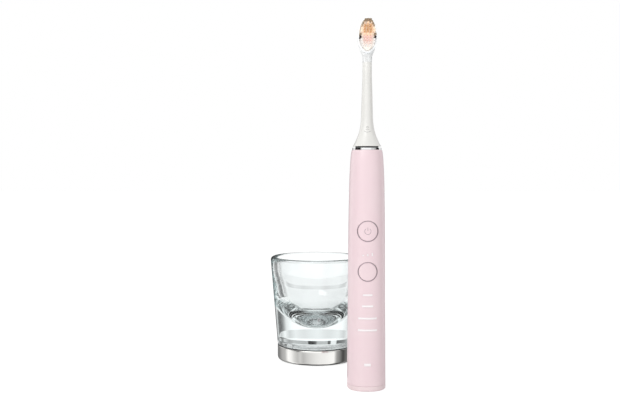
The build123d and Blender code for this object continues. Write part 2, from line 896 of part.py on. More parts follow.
def make_tuft_plate():
    """Plate let into the front of the head, which the tufts stand in."""
    return head_slab(plate_inset + press_gap, plate_thickness - head_front, head_front + press_gap)


def make_head_surround():
    """Soft clear wall round the head and the roots of the bristles."""
    ring = head_slab(0, head_split - press_gap, head_front + surround_rise)
    return ring - head_slab(surround_wall, head_split + 1, head_front + surround_rise + 1)


def head_half_width(height):
    """Half width of the head at a height above its foot."""
    stations = [(0.0, 0.0), *head_outline, (head_length, 0.0)]
    for (low, before), (high, after) in zip(stations, stations[1:]):
        if height <= high:
            return before + (after - before) * (height - low) / (high - low)
    return 0.0


def tuft(x, height, length):
    """One tuft as an eight-sided prism that stands on the plate."""
    face = RegularPolygon(tuft_radius, 8)
    root = head_front + press_gap
    return Pos(x, -root, head_floor + height) * Rot(90, 0, 0) * extrude(face, amount=length)


def make_tufts():
    """Rows of tufts: a firm outer ring, and two softer fields inside it."""
    groups = {"outer_tufts": [], "centre_tufts": [], "polish_tufts": [], "side_tufts": []}
    height = tuft_first_row
    while height < head_length - tuft_edge - tuft_radius / 2:
        room = head_half_width(height) - tuft_edge
        count = 1 + int(2 * max(room, 0) / tuft_pitch)
        for index in range(count):
            x = 0 if count == 1 else room * (2 * index / (count - 1) - 1)
            outermost = index in (0, count - 1)
            if outermost and abs(height - side_tuft_height) < tuft_row_pitch / 2:
                groups["side_tufts"].append(tuft(x, height, side_tuft_length))
            elif outermost or height == tuft_first_row:
                groups["outer_tufts"].append(tuft(x, height, outer_tuft_length))
            elif height > tuft_colour_split:
                groups["centre_tufts"].append(tuft(x, height, tuft_length))
            else:
                groups["polish_tufts"].append(tuft(x, height, tuft_length))
        height += tuft_row_pitch
    return {name: Compound(tufts) for name, tufts in groups.items()}


# ---------------------------------------------------------------- charging base
def around(radius, count, start=30.0):
    """Places evenly spaced on a circle about the Z axis."""
    return [Rot(0, 0, start + 360 * index / count) * Pos(radius, 0, 0) for index in range(count)]


def corner_arc(side, floor, radius):
    """Quarter round between a floor and the side of a turned outline, from floor to side."""
    inset = radius * (1 - math.sqrt(0.5))
    middle = (side - inset, 0, floor + inset)
    return ThreePointArc((side - radius, 0, floor), middle, (side, 0, floor + radius))


def make_base_shell():
    """Drawn metal band with a rolled-in lower edge and a hole for the cord gland."""
    inner_corner = base_corner_radius - base_shell_wall
    inner_radius = base_radius - base_shell_wall
    floor = base_lift + base_shell_wall
    outer_arc = corner_arc(base_radius, base_lift, base_corner_radius)
    inner_arc = corner_arc(inner_radius, floor, inner_corner)
    side = Polyline(
        (base_radius, 0, base_lift + base_corner_radius),
        (base_radius, 0, base_height - base_top_bevel),
        (base_radius - base_top_bevel, 0, base_height),
        (inner_radius, 0, base_height),
        (inner_radius, 0, floor + inner_corner),
    )
    lip = Polyline(
        (inner_radius - inner_corner, 0, floor),
        (base_lip_radius, 0, floor),
        (base_lip_radius, 0, base_lift),
        (base_radius - base_corner_radius, 0, base_lift),
    )
    shell = revolve(make_face(outer_arc + side + inner_arc + lip), Axis.Z)
    return shell - gland_cylinder(gland_radius + press_gap, base_radius - 4, base_radius + 4)


def gland_cylinder(radius, start, end):
    """Cylinder along Y at the back of the base, on the cord gland's axis."""
    return front_disc(radius, 0, gland_height, (start, end))


def make_cord_gland():
    """Rubber bush where the supply cord enters the back of the base."""
    inner_wall = base_radius - base_shell_wall
    outer_end = base_radius + gland_flange_thickness
    inner_end = inner_wall - 3 * gland_flange_thickness
    gland = gland_cylinder(gland_radius, inner_end, outer_end)
    outside = gland_cylinder(gland_radius + gland_flange, base_radius - 2, outer_end)
    outside -= disc(base_radius + press_gap, 0, base_height)
    gland += outside
    return gland - gland_cylinder(gland_bore_radius, inner_end - 1, outer_end + 1)


def make_top_plate():
    """Top of the base: a raised disc that centres the glass, a well for the coil and three posts."""
    top = base_height
    bottom = top - top_plate_thickness
    plate = disc(base_radius - base_shell_wall - press_gap, bottom, top)
    plate += disc(locating_disc_radius, top - 0.1, top + locating_disc_height)
    well_bottom = bottom - primary_thickness - ferrite_thickness - 2 * press_gap
    plate += tube(ferrite_radius + press_gap + well_wall, ferrite_radius + press_gap, well_bottom, bottom)
    for place in around(post_circle, post_count):
        post = place * disc(post_radius, cover_top() + press_gap, bottom)
        plate += post
    for place in around(post_circle, post_count):
        hole_top = foot_recess + base_lift + base_screw_length + base_screw_spare
        plate -= place * disc(base_screw_radius + press_gap, 0, hole_top)
    return plate


def cover_bottom():
    """Underside of the bottom cover's flange, on the rolled edge of the metal band."""
    return base_lift + base_shell_wall + press_gap


def cover_top():
    """Inner face of the bottom cover."""
    return cover_bottom() + cover_thickness


def make_bottom_cover():
    """Cover that closes the base from below, with standoffs for the board."""
    flange = base_radius - base_shell_wall - (base_corner_radius - base_shell_wall) - press_gap
    cover = disc(flange, cover_bottom(), cover_top())
    cover += disc(base_lip_radius - slip_gap, base_lift, cover_bottom() + 0.1)
    cover -= disc(foot_radius + slip_gap, 0, foot_recess + base_lift)
    for place in around(standoff_circle, post_count, start=90.0):
        cover += place * disc(standoff_radius, cover_top() - 0.1, base_board_height)
    head_top = foot_recess + base_lift + base_screw_head_height
    for place in around(post_circle, post_count):
        cover -= place * disc(base_screw_radius + press_gap, 0, cover_top() + 1)
        cover -= place * disc(base_screw_head_radius + press_gap, 0, head_top)
    return cover


def make_base_foot():
    """Rubber pad that the base stands on."""
    return disc(foot_radius, 0, foot_recess + base_lift - press_gap)


def make_base_screws():
    """Screws under the pad that hold cover, board and top plate together."""
    bottom = foot_recess + base_lift
    head = disc(base_screw_head_radius, bottom, bottom + base_screw_head_height)
    shank = disc(base_screw_radius, bottom + 0.1, bottom + base_screw_length)
    return Compound([place * (head + shank) for place in around(post_circle, post_count)])


def make_base_board():
    """Round circuit board on the cover's standoffs."""
    top = base_board_height + base_board_thickness
    return disc(base_board_radius, base_board_height, top)


def make_base_board_parts():
    """Chips, capacitors and the terminal block on the base's board."""
    floor = base_board_height + base_board_thickness
    parts = [block(x_range, y_range, (floor, floor + up)) for x_range, y_range, up in base_board_blocks]
    for x, y in capacitor_places:
        parts.append(Pos(x, y, 0) * disc(capacitor_radius, floor, floor + capacitor_height))
    return Compound(parts)


def make_primary_coil():
    """Flat copper winding under the top plate."""
    top = base_height - top_plate_thickness - press_gap
    return tube(primary_outer_radius, primary_inner_radius, top - primary_thickness, top)


def make_ferrite_plate():
    """Ferrite disc under the winding."""
    top = base_height - top_plate_thickness - primary_thickness - 2 * press_gap
    return disc(ferrite_radius, top - ferrite_thickness, top)


def make_seat_ring():
    """Thin rubber ring that the glass stands on."""
    return tube(seat_ring_outer_radius, glass_recess_radius, base_height, base_height + seat_ring_thickness)


# ---------------------------------------------------------------- glass
def outer_radius(z):
    """Radius of the outside of the glass at height z."""
    return glass_foot_radius + glass_flare * (z - deck_height) / glass_height


def make_glass():
    """Heavy tumbler: tapered outside, round bowl inside and a shallow recess underneath."""
    rim_inner = glass_rim_radius - glass_rim_wall
    edge = glass_foot_edge_radius
    slope = glass_flare / glass_height
    bend = glass_rim_wall / 2
    wall_top = glass_top - bend
    outside = Polyline(
        (0, 0, deck_height + glass_recess_depth),
        (glass_recess_radius, 0, deck_height + glass_recess_depth),
        (glass_recess_radius, 0, deck_height),
        (glass_foot_radius - edge, 0, deck_height),
        (glass_foot_radius + slope * edge, 0, deck_height + edge),
        (glass_rim_radius - slope * bend, 0, wall_top),
    )
    rim = ThreePointArc(
        (glass_rim_radius - slope * bend, 0, wall_top),
        (glass_rim_radius - bend, 0, glass_top),
        (rim_inner, 0, wall_top),
    )
    levels = [(bowl_bottom + height, wall) for height, wall in reversed(bowl_walls)]
    bowl = Spline(
        (rim_inner, 0, wall_top),
        *[(outer_radius(level) - wall, 0, level) for level, wall in levels],
        (0, 0, bowl_bottom),
        tangents=[(-glass_rim_lean, 0, -1), (-1, 0, 0)],
    )
    centre = Line((0, 0, bowl_bottom), (0, 0, deck_height + glass_recess_depth))
    return revolve(make_face(outside + rim + bowl + centre), Axis.Z)


# ---------------------------------------------------------------- output
def save(name, shape, place=Pos(0, 0, 0)):
    """Write one piece to its own file."""
    export_step(place * shape, f"parts/{name}.step")


def save_toothbrush():
    """Write every piece of the toothbrush, moved to where it stands."""
    place = Pos(brush_x, brush_y, 0)
    skin = make_handle_skin()
    inside = handle_trunk(handle_wall + light_box_gap, cap_height)
    pieces = {
        "handle_housing": make_handle_housing(skin),
        "power_ring": make_button_ring(skin, power_button_height, power_ring_radius),
        "mode_ring": make_button_ring(skin, mode_button_height, mode_ring_radius),
        "power_button": make_button(power_button_height, power_ring_radius),
        "mode_button": make_button(mode_button_height, mode_ring_radius),
        "power_switch_stem": make_switch_stem(power_button_height),
        "mode_switch_stem": make_switch_stem(mode_button_height),
        "base_cap": make_base_cap(),
        "cap_seal": make_cap_seal(),
        "top_collar": make_top_collar(),
        "shaft_seal": make_shaft_seal(),
        "inner_frame": make_inner_frame(),
        "main_board": make_board(),
        "board_screws": make_board_screws(),
        "board_components": make_board_components(),
        "tact_switches": make_switches(),
        "indicator_leds": make_leds(),
        "light_boxes": make_light_boxes(inside),
        "coil_bobbin": make_coil_bobbin(),
        "coil_core": disc(coil_core_radius, cap_floor, cap_floor + bobbin_height),
        "charging_coil": make_charging_coil(),
        "battery_cell": make_battery_cell(),
        "battery_tabs": make_battery_tabs(),
        "motor_can": make_motor_can(),
        "stator_core": make_stator_core(),
        "stator_coils": make_stator_coils(),
        "motor_end_plates": make_end_plates(),
        "shaft_bushes": make_shaft_bushes(),
        "spring_anchor": make_spring_anchor(),
        "torsion_bar": make_torsion_bar(),
        "drive_shaft": make_drive_shaft(),
        "rotor_yoke": make_rotor_yoke(),
        "rotor_magnets": make_rotor_magnets(),
        "brush_neck": make_brush_neck(),
        "coupling_insert": make_coupling_insert(),
        "grip_spring": make_grip_spring(),
        "id_tag": make_id_tag(),
        "tuft_plate": make_tuft_plate(),
        "head_surround": make_head_surround(),
        **make_windows(skin),
        **make_tufts(),
    }
    for name, shape in pieces.items():
        save(name, shape, place)


def save_charger():
    """Write the pieces of the charging base and its glass."""
    save("base_shell", make_base_shell())
    save("cord_gland", make_cord_gland())
    save("base_top_plate", make_top_plate())
    save("base_bottom_cover", make_bottom_cover())
    save("base_foot", make_base_foot())
    save("base_screws", make_base_screws())
    save("base_board", make_base_board())
    save("base_board_parts", make_base_board_parts())
    save("primary_coil", make_primary_coil())
    save("ferrite_plate", make_ferrite_plate())
    save("glass_seat_ring", make_seat_ring())
    save("charging_glass", make_glass())


os.makedirs("parts", exist_ok=True)
save_toothbrush()
save_charger()
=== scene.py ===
"""Electric toothbrush beside its charging glass and charging base.

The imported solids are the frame. This script gives each visible solid a smooth surface of the
same size, gives every bristle its own filament, dresses the inner works, and sets up a plain
studio. Sizes are millimetres inside the classes and become metres when a mesh is made; those
of the studio are metres throughout.
"""

import logging
import math
from dataclasses import dataclass, field
from enum import Enum
from typing import Any, Callable

import bpy
import numpy as np
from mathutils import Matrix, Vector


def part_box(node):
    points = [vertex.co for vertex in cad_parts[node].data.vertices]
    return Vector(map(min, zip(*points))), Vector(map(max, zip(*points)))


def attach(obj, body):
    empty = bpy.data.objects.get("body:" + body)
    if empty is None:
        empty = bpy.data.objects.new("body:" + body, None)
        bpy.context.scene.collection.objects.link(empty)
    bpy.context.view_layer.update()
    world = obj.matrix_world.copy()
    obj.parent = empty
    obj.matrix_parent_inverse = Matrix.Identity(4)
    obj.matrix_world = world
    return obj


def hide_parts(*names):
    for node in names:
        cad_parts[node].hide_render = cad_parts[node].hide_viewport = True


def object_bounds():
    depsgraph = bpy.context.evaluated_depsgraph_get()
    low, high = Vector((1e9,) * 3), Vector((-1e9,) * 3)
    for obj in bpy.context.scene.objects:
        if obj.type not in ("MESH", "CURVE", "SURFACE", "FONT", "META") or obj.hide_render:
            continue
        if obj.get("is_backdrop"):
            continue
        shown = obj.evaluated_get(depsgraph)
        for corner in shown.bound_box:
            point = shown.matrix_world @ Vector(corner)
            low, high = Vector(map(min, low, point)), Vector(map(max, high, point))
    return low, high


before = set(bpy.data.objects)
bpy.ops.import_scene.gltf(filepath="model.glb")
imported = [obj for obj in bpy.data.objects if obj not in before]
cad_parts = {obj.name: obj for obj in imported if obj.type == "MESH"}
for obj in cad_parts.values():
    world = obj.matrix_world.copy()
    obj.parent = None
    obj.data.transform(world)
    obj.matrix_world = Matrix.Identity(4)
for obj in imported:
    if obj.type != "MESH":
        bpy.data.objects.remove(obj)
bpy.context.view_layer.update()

MM = 0.001
log = logging.getLogger("toothbrush")

Tree = bpy.types.NodeTree
Socket = bpy.types.NodeSocket
Point = tuple[float, float]
Outline = list[Point]
Ring = np.ndarray
Faces = list[tuple[int, ...]]
Form = tuple[np.ndarray, Faces]


class Body(str, Enum):
    """Bodies of the object that a piece can ride on."""

    HANDLE = "handle"
    DRIVE = "drive_train"
    HEAD = "brush_head"
    POWER = "power_button"
    MODE = "mode_button"
    BASE = "charging_base"
    GLASS = "glass"


# ---------------------------------------------------------------- finishes
def linear(colour: str) -> tuple[float, float, float, float]:
    """Turn an sRGB hex colour into linear RGBA.

    Args:
        colour: six hex digits after a hash sign.

    Returns:
        Red, green, blue and an alpha of one.
    """
    parts = [int(colour[i : i + 2], 16) / 255 for i in (1, 3, 5)]
    red, green, blue = (c / 12.92 if c <= 0.04045 else ((c + 0.055) / 1.055) ** 2.4 for c in parts)
    return red, green, blue, 1.0


def add_node(
    tree: Tree, kind: str, inputs: dict[str | int, Any] | None = None, **settings: Any
) -> bpy.types.Node:
    """Add a node with its settings, values and links.

    Args:
        tree: node tree that gets the node.
        kind: Blender's type name of the node.
        inputs: value or output socket for each input, by its name or index.
        **settings: the node's own options.

    Returns:
        The new node.
    """
    node = tree.nodes.new(kind)
    for name, value in settings.items():
        setattr(node, name, value)
    for key, value in (inputs or {}).items():
        if isinstance(value, Socket):
            tree.links.new(value, node.inputs[key])
        else:
            node.inputs[key].default_value = value
    return node


def cleared(owner: bpy.types.ID) -> Tree:
    """Turn on the nodes of a material or a world, and take away those it comes with.

    Args:
        owner: the material or world.

    Returns:
        Its empty node tree.
    """
    owner.use_nodes = True
    owner.node_tree.nodes.clear()
    return owner.node_tree


WHITE = (1.0, 1.0, 1.0, 1.0)
# Sockets of the Mix node when it mixes colours.
MIX_A, MIX_B, MIX_RESULT = 6, 7, 2
# Range that most of a noise's values lie in.
MIDDLE = {"From Min": 0.3, "From Max": 0.7}


def patches(tree: Tree, size: float, detail: float = 2.0) -> Socket:
    """Soft patches of a real size that stay in their place on the piece.

    Args:
        tree: node tree that gets the nodes.
        size: size of one patch in mm.
        detail: how many finer layers it has.

    Returns:
        A value from nought to one.
    """
    place = add_node(tree, "ShaderNodeTexCoord").outputs["Object"]
    inputs = {"Vector": place, "Scale": 1 / (size * MM), "Detail": detail}
    return add_node(tree, "ShaderNodeTexNoise", inputs).outputs["Fac"]


@dataclass(frozen=True)
class Finish:
    """What every finish has: a name, a colour and a roughness."""

    name: str
    colour: str
    roughness: float

    def surface(self, tree: Tree) -> dict[str, Any]:
        """What the surface shader is given; each kind of finish has its own."""
        raise NotImplementedError

    def inside(self, tree: Tree) -> dict[str, Socket]:
        """What fills the piece, for a finish that is seen into."""
        return {}

    def build(self) -> bpy.types.Material:
        """Make the material, or return it if it is already made."""
        found = bpy.data.materials.get(self.name)
        if found:
            return found
        material = bpy.data.materials.new(self.name)
        tree = cleared(material)
        shader = add_node(tree, "ShaderNodeBsdfPrincipled", self.surface(tree))
        add_node(tree, "ShaderNodeOutputMaterial", {"Surface": shader.outputs["BSDF"], **self.inside(tree)})
        return material


@dataclass(frozen=True)
class MouldedPlastic(Finish):
    """Injection-moulded plastic: an even colour with the grain of its spark-eroded mould.

    The real grain is finer than a tenth of a millimetre; it is drawn as coarse as it needs to show.
    """

    # Colour that the first one drifts to, and the size of its patches.
    second: str = "#000000"
    drift: float = 14.0
    grain: float = 0.25
    depth: float = 0.004
    ior: float = 1.49
    coat: float = 0.0
    coat_roughness: float = 0.12
    clear: float = 0.0
    # Strength of an emission in the piece's own colour: painted glow where the part is no lamp, as on the
    # tuft plate and surround; a lit LED's own light.
    glow: float = 0.0

    def surface(self, tree: Tree) -> dict[str, Any]:
        """Colour drifts slightly over centimetres; the grain moves the gloss and the normal.

        Args:
            tree: the material's node tree.

        Returns:
            Values and sockets for the surface shader's inputs.
        """
        drifting = {"Value": patches(tree, self.drift), **MIDDLE}
        share = add_node(tree, "ShaderNodeMapRange", drifting).outputs["Result"]
        colours = {"Factor": share, MIX_A: linear(self.colour), MIX_B: linear(self.second)}
        grain = patches(tree, self.grain)
        gloss = {"Value": grain, **MIDDLE, "To Min": self.roughness * 0.9, "To Max": self.roughness * 1.1}
        bump = {"Height": grain, "Distance": self.depth * MM}
        return {
            "Base Color": add_node(tree, "ShaderNodeMix", colours, data_type="RGBA").outputs[MIX_RESULT],
            "Roughness": add_node(tree, "ShaderNodeMapRange", gloss).outputs["Result"],
            "IOR": self.ior,
            "Coat Weight": self.coat,
            "Coat Roughness": self.coat_roughness,
            "Transmission Weight": self.clear,
            # Emission in its own colour: painted glow, or a lit LED's own light.
            "Emission Color": linear(self.colour),
            "Emission Strength": self.glow,
            "Normal": add_node(tree, "ShaderNodeBump", bump).outputs["Normal"],
        }


@dataclass(frozen=True)
class WorkedMetal(Finish):
    """Metal with the fine lines that its tool left; a stretch of one leaves it without direction."""

    line: float = 0.05
    stretch: float = 12.0
    depth: float = 0.0006

    def surface(self, tree: Tree) -> dict[str, Any]:
        """Noise flattened along Z gives lines that run level round the piece.

        Args:
            tree: the material's node tree.

        Returns:
            Values and sockets for the surface shader's inputs.
        """
        place = add_node(tree, "ShaderNodeTexCoord").outputs["Object"]
        flat = add_node(tree, "ShaderNodeMapping", {"Vector": place, "Scale": (1.0, 1.0, self.stretch)})
        scale = 1 / (self.line * self.stretch * MM)
        drawn = {"Vector": flat.outputs["Vector"], "Scale": scale, "Detail": 2.0}
        lines = add_node(tree, "ShaderNodeTexNoise", drawn).outputs["Fac"]
        gloss = {"Value": lines, **MIDDLE, "To Min": self.roughness * 0.8, "To Max": self.roughness * 1.2}
        bump = {"Height": lines, "Distance": self.depth * MM}
        return {
            "Base Color": linear(self.colour),
            "Metallic": 1.0,
            "Roughness": add_node(tree, "ShaderNodeMapRange", gloss).outputs["Result"],
            "Normal": add_node(tree, "ShaderNodeBump", bump).outputs["Normal"],
        }


@dataclass(frozen=True)
class PressedGlass(Finish):
    """Clear pressed glass: sharp and bright, with the slight waves of its mould; green-blue where deep."""

    wave: float = 16.0
    depth: float = 0.012
    ior: float = 1.5
    # Colour that its depth takes on, and how soon, per metre.
    body: str = "#E0F2F2"
    density: float = 5.0

    def surface(self, tree: Tree) -> dict[str, Any]:
        """The waves only bend what is seen through the glass.

        Args:
            tree: the material's node tree.

        Returns:
            Values and sockets for the surface shader's inputs.
        """
        bump = {"Height": patches(tree, self.wave, detail=0.0), "Distance": self.depth * MM}
        return {
            "Base Color": linear(self.colour),
            "Roughness": self.roughness,
            "IOR": self.ior,
            "Transmission Weight": 1.0,
            "Normal": add_node(tree, "ShaderNodeBump", bump).outputs["Normal"],
        }

    def inside(self, tree: Tree) -> dict[str, Socket]:
        """Tint that light takes on with the depth of glass behind it."""
        tint = {"Color": linear(self.body), "Density": self.density}
        return {"Volume": add_node(tree, "ShaderNodeVolumeAbsorption", tint).outputs["Volume"]}


@dataclass(frozen=True)
class Layered(Finish):
    """Something built of level layers or turns, such as a winding or a stack of sheets."""

    gap_colour: str = "#000000"
    pitch: float = 0.35
    metallic: float = 1.0
    depth: float = 0.06

    def surface(self, tree: Tree) -> dict[str, Any]:
        """A saw of rings one pitch apart, darker in the grooves.

        Args:
            tree: the material's node tree.

        Returns:
            Values and sockets for the surface shader's inputs.
        """
        place = add_node(tree, "ShaderNodeTexCoord").outputs["Object"]
        height = add_node(tree, "ShaderNodeSeparateXYZ", {"Vector": place}).outputs["Z"]
        pitch = self.pitch * MM
        turns = add_node(tree, "ShaderNodeMath", {0: height, 1: pitch}, operation="PINGPONG").outputs[0]
        crown = add_node(tree, "ShaderNodeMath", {0: turns, 1: pitch}, operation="DIVIDE").outputs[0]
        colours = {"Factor": crown, MIX_A: linear(self.gap_colour), MIX_B: linear(self.colour)}
        bump = {"Height": crown, "Distance": self.depth * MM}
        return {
            "Base Color": add_node(tree, "ShaderNodeMix", colours, data_type="RGBA").outputs[MIX_RESULT],
            "Metallic": self.metallic,
            "Roughness": self.roughness,
            "Normal": add_node(tree, "ShaderNodeBump", bump).outputs["Normal"],
        }


@dataclass(frozen=True)
class CircuitBoard(Finish):
    """Glass-epoxy board under solder mask, with its copper tracks as raised lighter lines."""

    track: str = "#2E8B57"
    pitch: float = 1.6
    track_height: float = 0.035

    def surface(self, tree: Tree) -> dict[str, Any]:
        """Borders of cells make a net of tracks about a millimetre and a half apart.

        Args:
            tree: the material's node tree.

        Returns:
            Values and sockets for the surface shader's inputs.
        """
        place = add_node(tree, "ShaderNodeTexCoord").outputs["Object"]
        net = {"Vector": place, "Scale": 1 / (self.pitch * MM), "Randomness": 0.35}
        cells = add_node(tree, "ShaderNodeTexVoronoi", net, feature="DISTANCE_TO_EDGE", distance="CHEBYCHEV")
        edge = {"Value": cells.outputs["Distance"], "From Min": 0.04, "From Max": 0.09}
        bare = add_node(tree, "ShaderNodeMapRange", edge).outputs["Result"]
        colours = {"Factor": bare, MIX_A: linear(self.track), MIX_B: linear(self.colour)}
        bump = {"Height": bare, "Distance": -self.track_height * MM}
        return {
            "Base Color": add_node(tree, "ShaderNodeMix", colours, data_type="RGBA").outputs[MIX_RESULT],
            "Roughness": self.roughness,
            "Normal": add_node(tree, "ShaderNodeBump", bump).outputs["Normal"],
        }


@dataclass(frozen=True)
class Filament(Finish):
    """Drawn polyester filament, slightly clear, darker towards its root, and lit by a painted glow."""

    root: str = "#000000"
    root_depth: float = 0.0
    tip_depth: float = 8.0
    ior: float = 1.57
    # Length that one tone keeps, so that filaments side by side differ a little.
    streak: float = 0.3
    # Painted glow: emission that brightens the filaments, in place of the light that their clear sides carry
    # to their tips.
    painted_glow: float = 0.22

    def surface(self, tree: Tree) -> dict[str, Any]:
        """Colour runs from root to tip along Y, with a little difference between filaments.

        Args:
            tree: the material's node tree.

        Returns:
            Values and sockets for the surface shader's inputs.
        """
        place = add_node(tree, "ShaderNodeTexCoord").outputs["Object"]
        depth = add_node(tree, "ShaderNodeSeparateXYZ", {"Vector": place}).outputs["Y"]
        along = {"Value": depth, "From Min": self.root_depth * MM, "From Max": self.tip_depth * MM}
        share = add_node(tree, "ShaderNodeMapRange", along, interpolation_type="SMOOTHSTEP").outputs["Result"]
        colours = {"Factor": share, MIX_A: linear(self.root), MIX_B: linear(self.colour)}
        blend = add_node(tree, "ShaderNodeMix", colours, data_type="RGBA").outputs[MIX_RESULT]
        tones = {"Value": patches(tree, self.streak), **MIDDLE, "To Min": 0.9, "To Max": 1.06}
        value = add_node(tree, "ShaderNodeMapRange", tones).outputs["Result"]
        streaked = {"Hue": 0.5, "Saturation": 1.0, "Value": value, "Color": blend}
        return {
            "Base Color": add_node(tree, "ShaderNodeHueSaturation", streaked).outputs["Color"],
            "Roughness": self.roughness,
            "IOR": self.ior,
            # Painted glow: the filament emits light in its tip colour.
            "Emission Color": linear(self.colour),
            "Emission Strength": self.painted_glow,
        }


# Handle: moulded ABS under a satin lacquer. Soft broad sheen, no visible grain from arm's length.
PINK_HOUSING = MouldedPlastic(
    "lacquered_abs_pink", "#F0DADE", 0.34, second="#EFD7DC", grain=0.35, depth=0.002
)
# Base cap: the same plastic without lacquer, so a little duller and paler.
PINK_CAP = MouldedPlastic("moulded_abs_pink", "#EDDADC", 0.45, second="#EBD6D8")
# Neck of the brush head: polypropylene from a satin mould, warm white with a broad sheen.
WHITE_NECK = MouldedPlastic(
    "satin_polypropylene_white", "#EBEAE6", 0.26, second="#E7E6E2", grain=0.5, depth=0.0015
)
# Top of the neck and back of the head: unfilled polypropylene, milky where it is thin.
MILKY_NECK = MouldedPlastic(
    "natural_polypropylene_milky", "#F1F2F2", 0.22, second="#ECEEEE", depth=0.001, clear=0.1
)
# Tuft plate: moulded polypropylene as on the neck, with a painted glow: an emission that keeps it bright in
# the shade of the bristles.
WHITE_PLATE = MouldedPlastic("polypropylene_tuft_plate", "#FBF6EF", 0.4, second="#F6EFE5", glow=0.35)
# Surround: clear soft elastomer, frosted by its mould, so that it blurs what is behind; a painted glow, an
# emission in its own colour, keeps it pale.
SOFT_CLEAR = MouldedPlastic(
    "frosted_clear_elastomer", "#F7F9FB", 0.4, second="#F2F5F7", ior=1.36, clear=0.12, glow=0.25
)
# Light windows: moulded polycarbonate that spreads the light behind it and looks even white.
LIT_WINDOW = MouldedPlastic("diffusing_polycarbonate", "#FFFAFB", 0.3, second="#FBF4F6", ior=1.58)
# Printed marks: matt grey ink, a little rough at its edges.
GREY_INK = MouldedPlastic("screen_printed_grey_ink", "#AE9DA5", 0.6, second="#A6959D", grain=0.12)
NECK_INK = MouldedPlastic("pad_printed_light_grey_ink", "#A8A8A5", 0.6, second="#9F9F9C", grain=0.12)
# Moulded rubbers: matt, with a slight bloom.
GREY_RUBBER = MouldedPlastic(
    "silicone_rubber_grey", "#6E7072", 0.7, second="#5F6163", grain=0.15, depth=0.008, ior=1.41
)
# Charcoal rubber: the real colour of the pad under the base; on the seat gasket and shaft seal it is also
# painted shade, dark for the shadow in the gaps round them.
DARK_RUBBER_AND_GAP_SHADE = MouldedPlastic("tpe_rubber_charcoal_and_gap_shade", "#2B2C2E", 0.75, second="#242527", grain=0.2, depth=0.01)
# Inner mouldings: glass-filled nylon and black ABS show a coarser, fibrous grain.
FRAME_NYLON = MouldedPlastic("glass_filled_nylon", "#D8D4C8", 0.5, second="#C9C4B5", grain=0.6, depth=0.01)
BLACK_ABS = MouldedPlastic("moulded_abs_black", "#1D1E20", 0.5, second="#151617", grain=0.3, depth=0.006)
# Chips: epoxy moulded round them, dull black.
CHIP_EPOXY = MouldedPlastic(
    "transfer_moulded_epoxy", "#232326", 0.6, second="#1A1A1D", grain=0.12, depth=0.006
)
# Lights: cast clear resin over yellow phosphor, faintly lit.
LED_RESIN = MouldedPlastic("led_resin", "#F3E9B8", 0.3, second="#EBDDA0", glow=0.3)
# Cell: a shrunk sleeve, glossy and slightly wavy over the can.
CELL_WRAP = MouldedPlastic(
    "shrunk_pvc_sleeve", "#3B6FA8", 0.3, second="#355F92", grain=4.0, depth=0.02, coat=0.3
)
# Cover under the base: moulded ABS, plain light grey.
BASE_ABS = MouldedPlastic("moulded_abs_light_grey", "#C9CACB", 0.4, second="#C0C1C3")
# Ferrite: sintered and ground, dark and stony.
FERRITE = MouldedPlastic("sintered_ferrite", "#35322F", 0.65, second="#2A2725", grain=0.4, depth=0.015)

# Metals keep the default IOR. Polished steel and chrome are nearly mirrors; the rest are duller.
CHROME = WorkedMetal("chrome_plate", "#DCDDDD", 0.07, depth=0.0002)
BASE_STEEL = WorkedMetal("polished_stainless_steel", "#E4E3E0", 0.085, line=0.08, depth=0.0003)
# Top of the base, under the glass: moulded ABS with a bright chrome plate.
PLATED_ABS = WorkedMetal("chrome_plated_abs", "#D9DBDC", 0.12, line=0.3, stretch=1.0, depth=0.0004)
# Rings round the buttons: turned aluminium, anodised a dusky pink, with a soft glint.
RING_METAL = WorkedMetal("anodised_ring", "#B7A3AB", 0.35)
# Shaft and springs: centreless-ground steel, bright with level lines.
SHAFT_STEEL = WorkedMetal("ground_stainless_steel", "#C9CACC", 0.22)
# Screws, can and yoke: pressed steel with a bluish zinc plate, satin.
PLATED_STEEL = WorkedMetal("zinc_plated_steel", "#B9BCC0", 0.35, line=0.15, stretch=3.0)
# Cell tabs: rolled nickel strip, yellowish and satin.
NICKEL = WorkedMetal("nickel_strip", "#C6BEB0", 0.32, line=0.1, stretch=2.0)
# Magnets: nickel over sintered metal, smooth but slightly uneven.
MAGNET = WorkedMetal("nickel_plated_neodymium", "#AEB0B3", 0.25, line=0.4, stretch=1.0)
# Bushes: sintered bronze, porous and dull gold.
BRONZE = WorkedMetal("sintered_bronze", "#A9793F", 0.5, line=0.15, stretch=1.0, depth=0.01)
# Enamelled copper wire: bright turns with dark enamel in the grooves.
COPPER_TURNS = Layered("enamelled_copper_winding", "#C8743C", 0.35, gap_colour="#6B3415", pitch=0.32)
# Stacked electrical steel: thin sheets with a dark film of oxide between them.
SHEET_STACK = Layered(
    "laminated_electrical_steel", "#8E9093", 0.45, gap_colour="#4A4C4F", pitch=0.5, depth=0.03
)
# Boards: glossy green mask, with the tracks under it a lighter green.
GREEN_BOARD = CircuitBoard("glass_epoxy_board", "#14512F", 0.35)
# Tumbler: pressed soda-lime glass, fire-polished, so with no roughness.
CLEAR_GLASS = PressedGlass("pressed_soda_lime_glass", "#F5F7F7", 0.0)


# ---------------------------------------------------------------- curves and surfaces
def around(count: int) -> np.ndarray:
    """Angles of points evenly spaced round a full turn."""
    return np.arange(count) * 2 * math.pi / count


def circle(centre: Point, radius: float, z: float, count: int) -> Ring:
    """Level ring of points about an upright axis.

    Args:
        centre: place of the axis.
        radius: radius of the ring; nought gives a pole.
        z: its height.
        count: how many points it has.

    Returns:
        Its points, in mm.
    """
    if radius < 1e-6:
        return np.array([(*centre, z)])
    x, y = centre[0] + radius * np.cos(around(count)), centre[1] + radius * np.sin(around(count))
    return np.column_stack((x, y, np.full(count, z)))


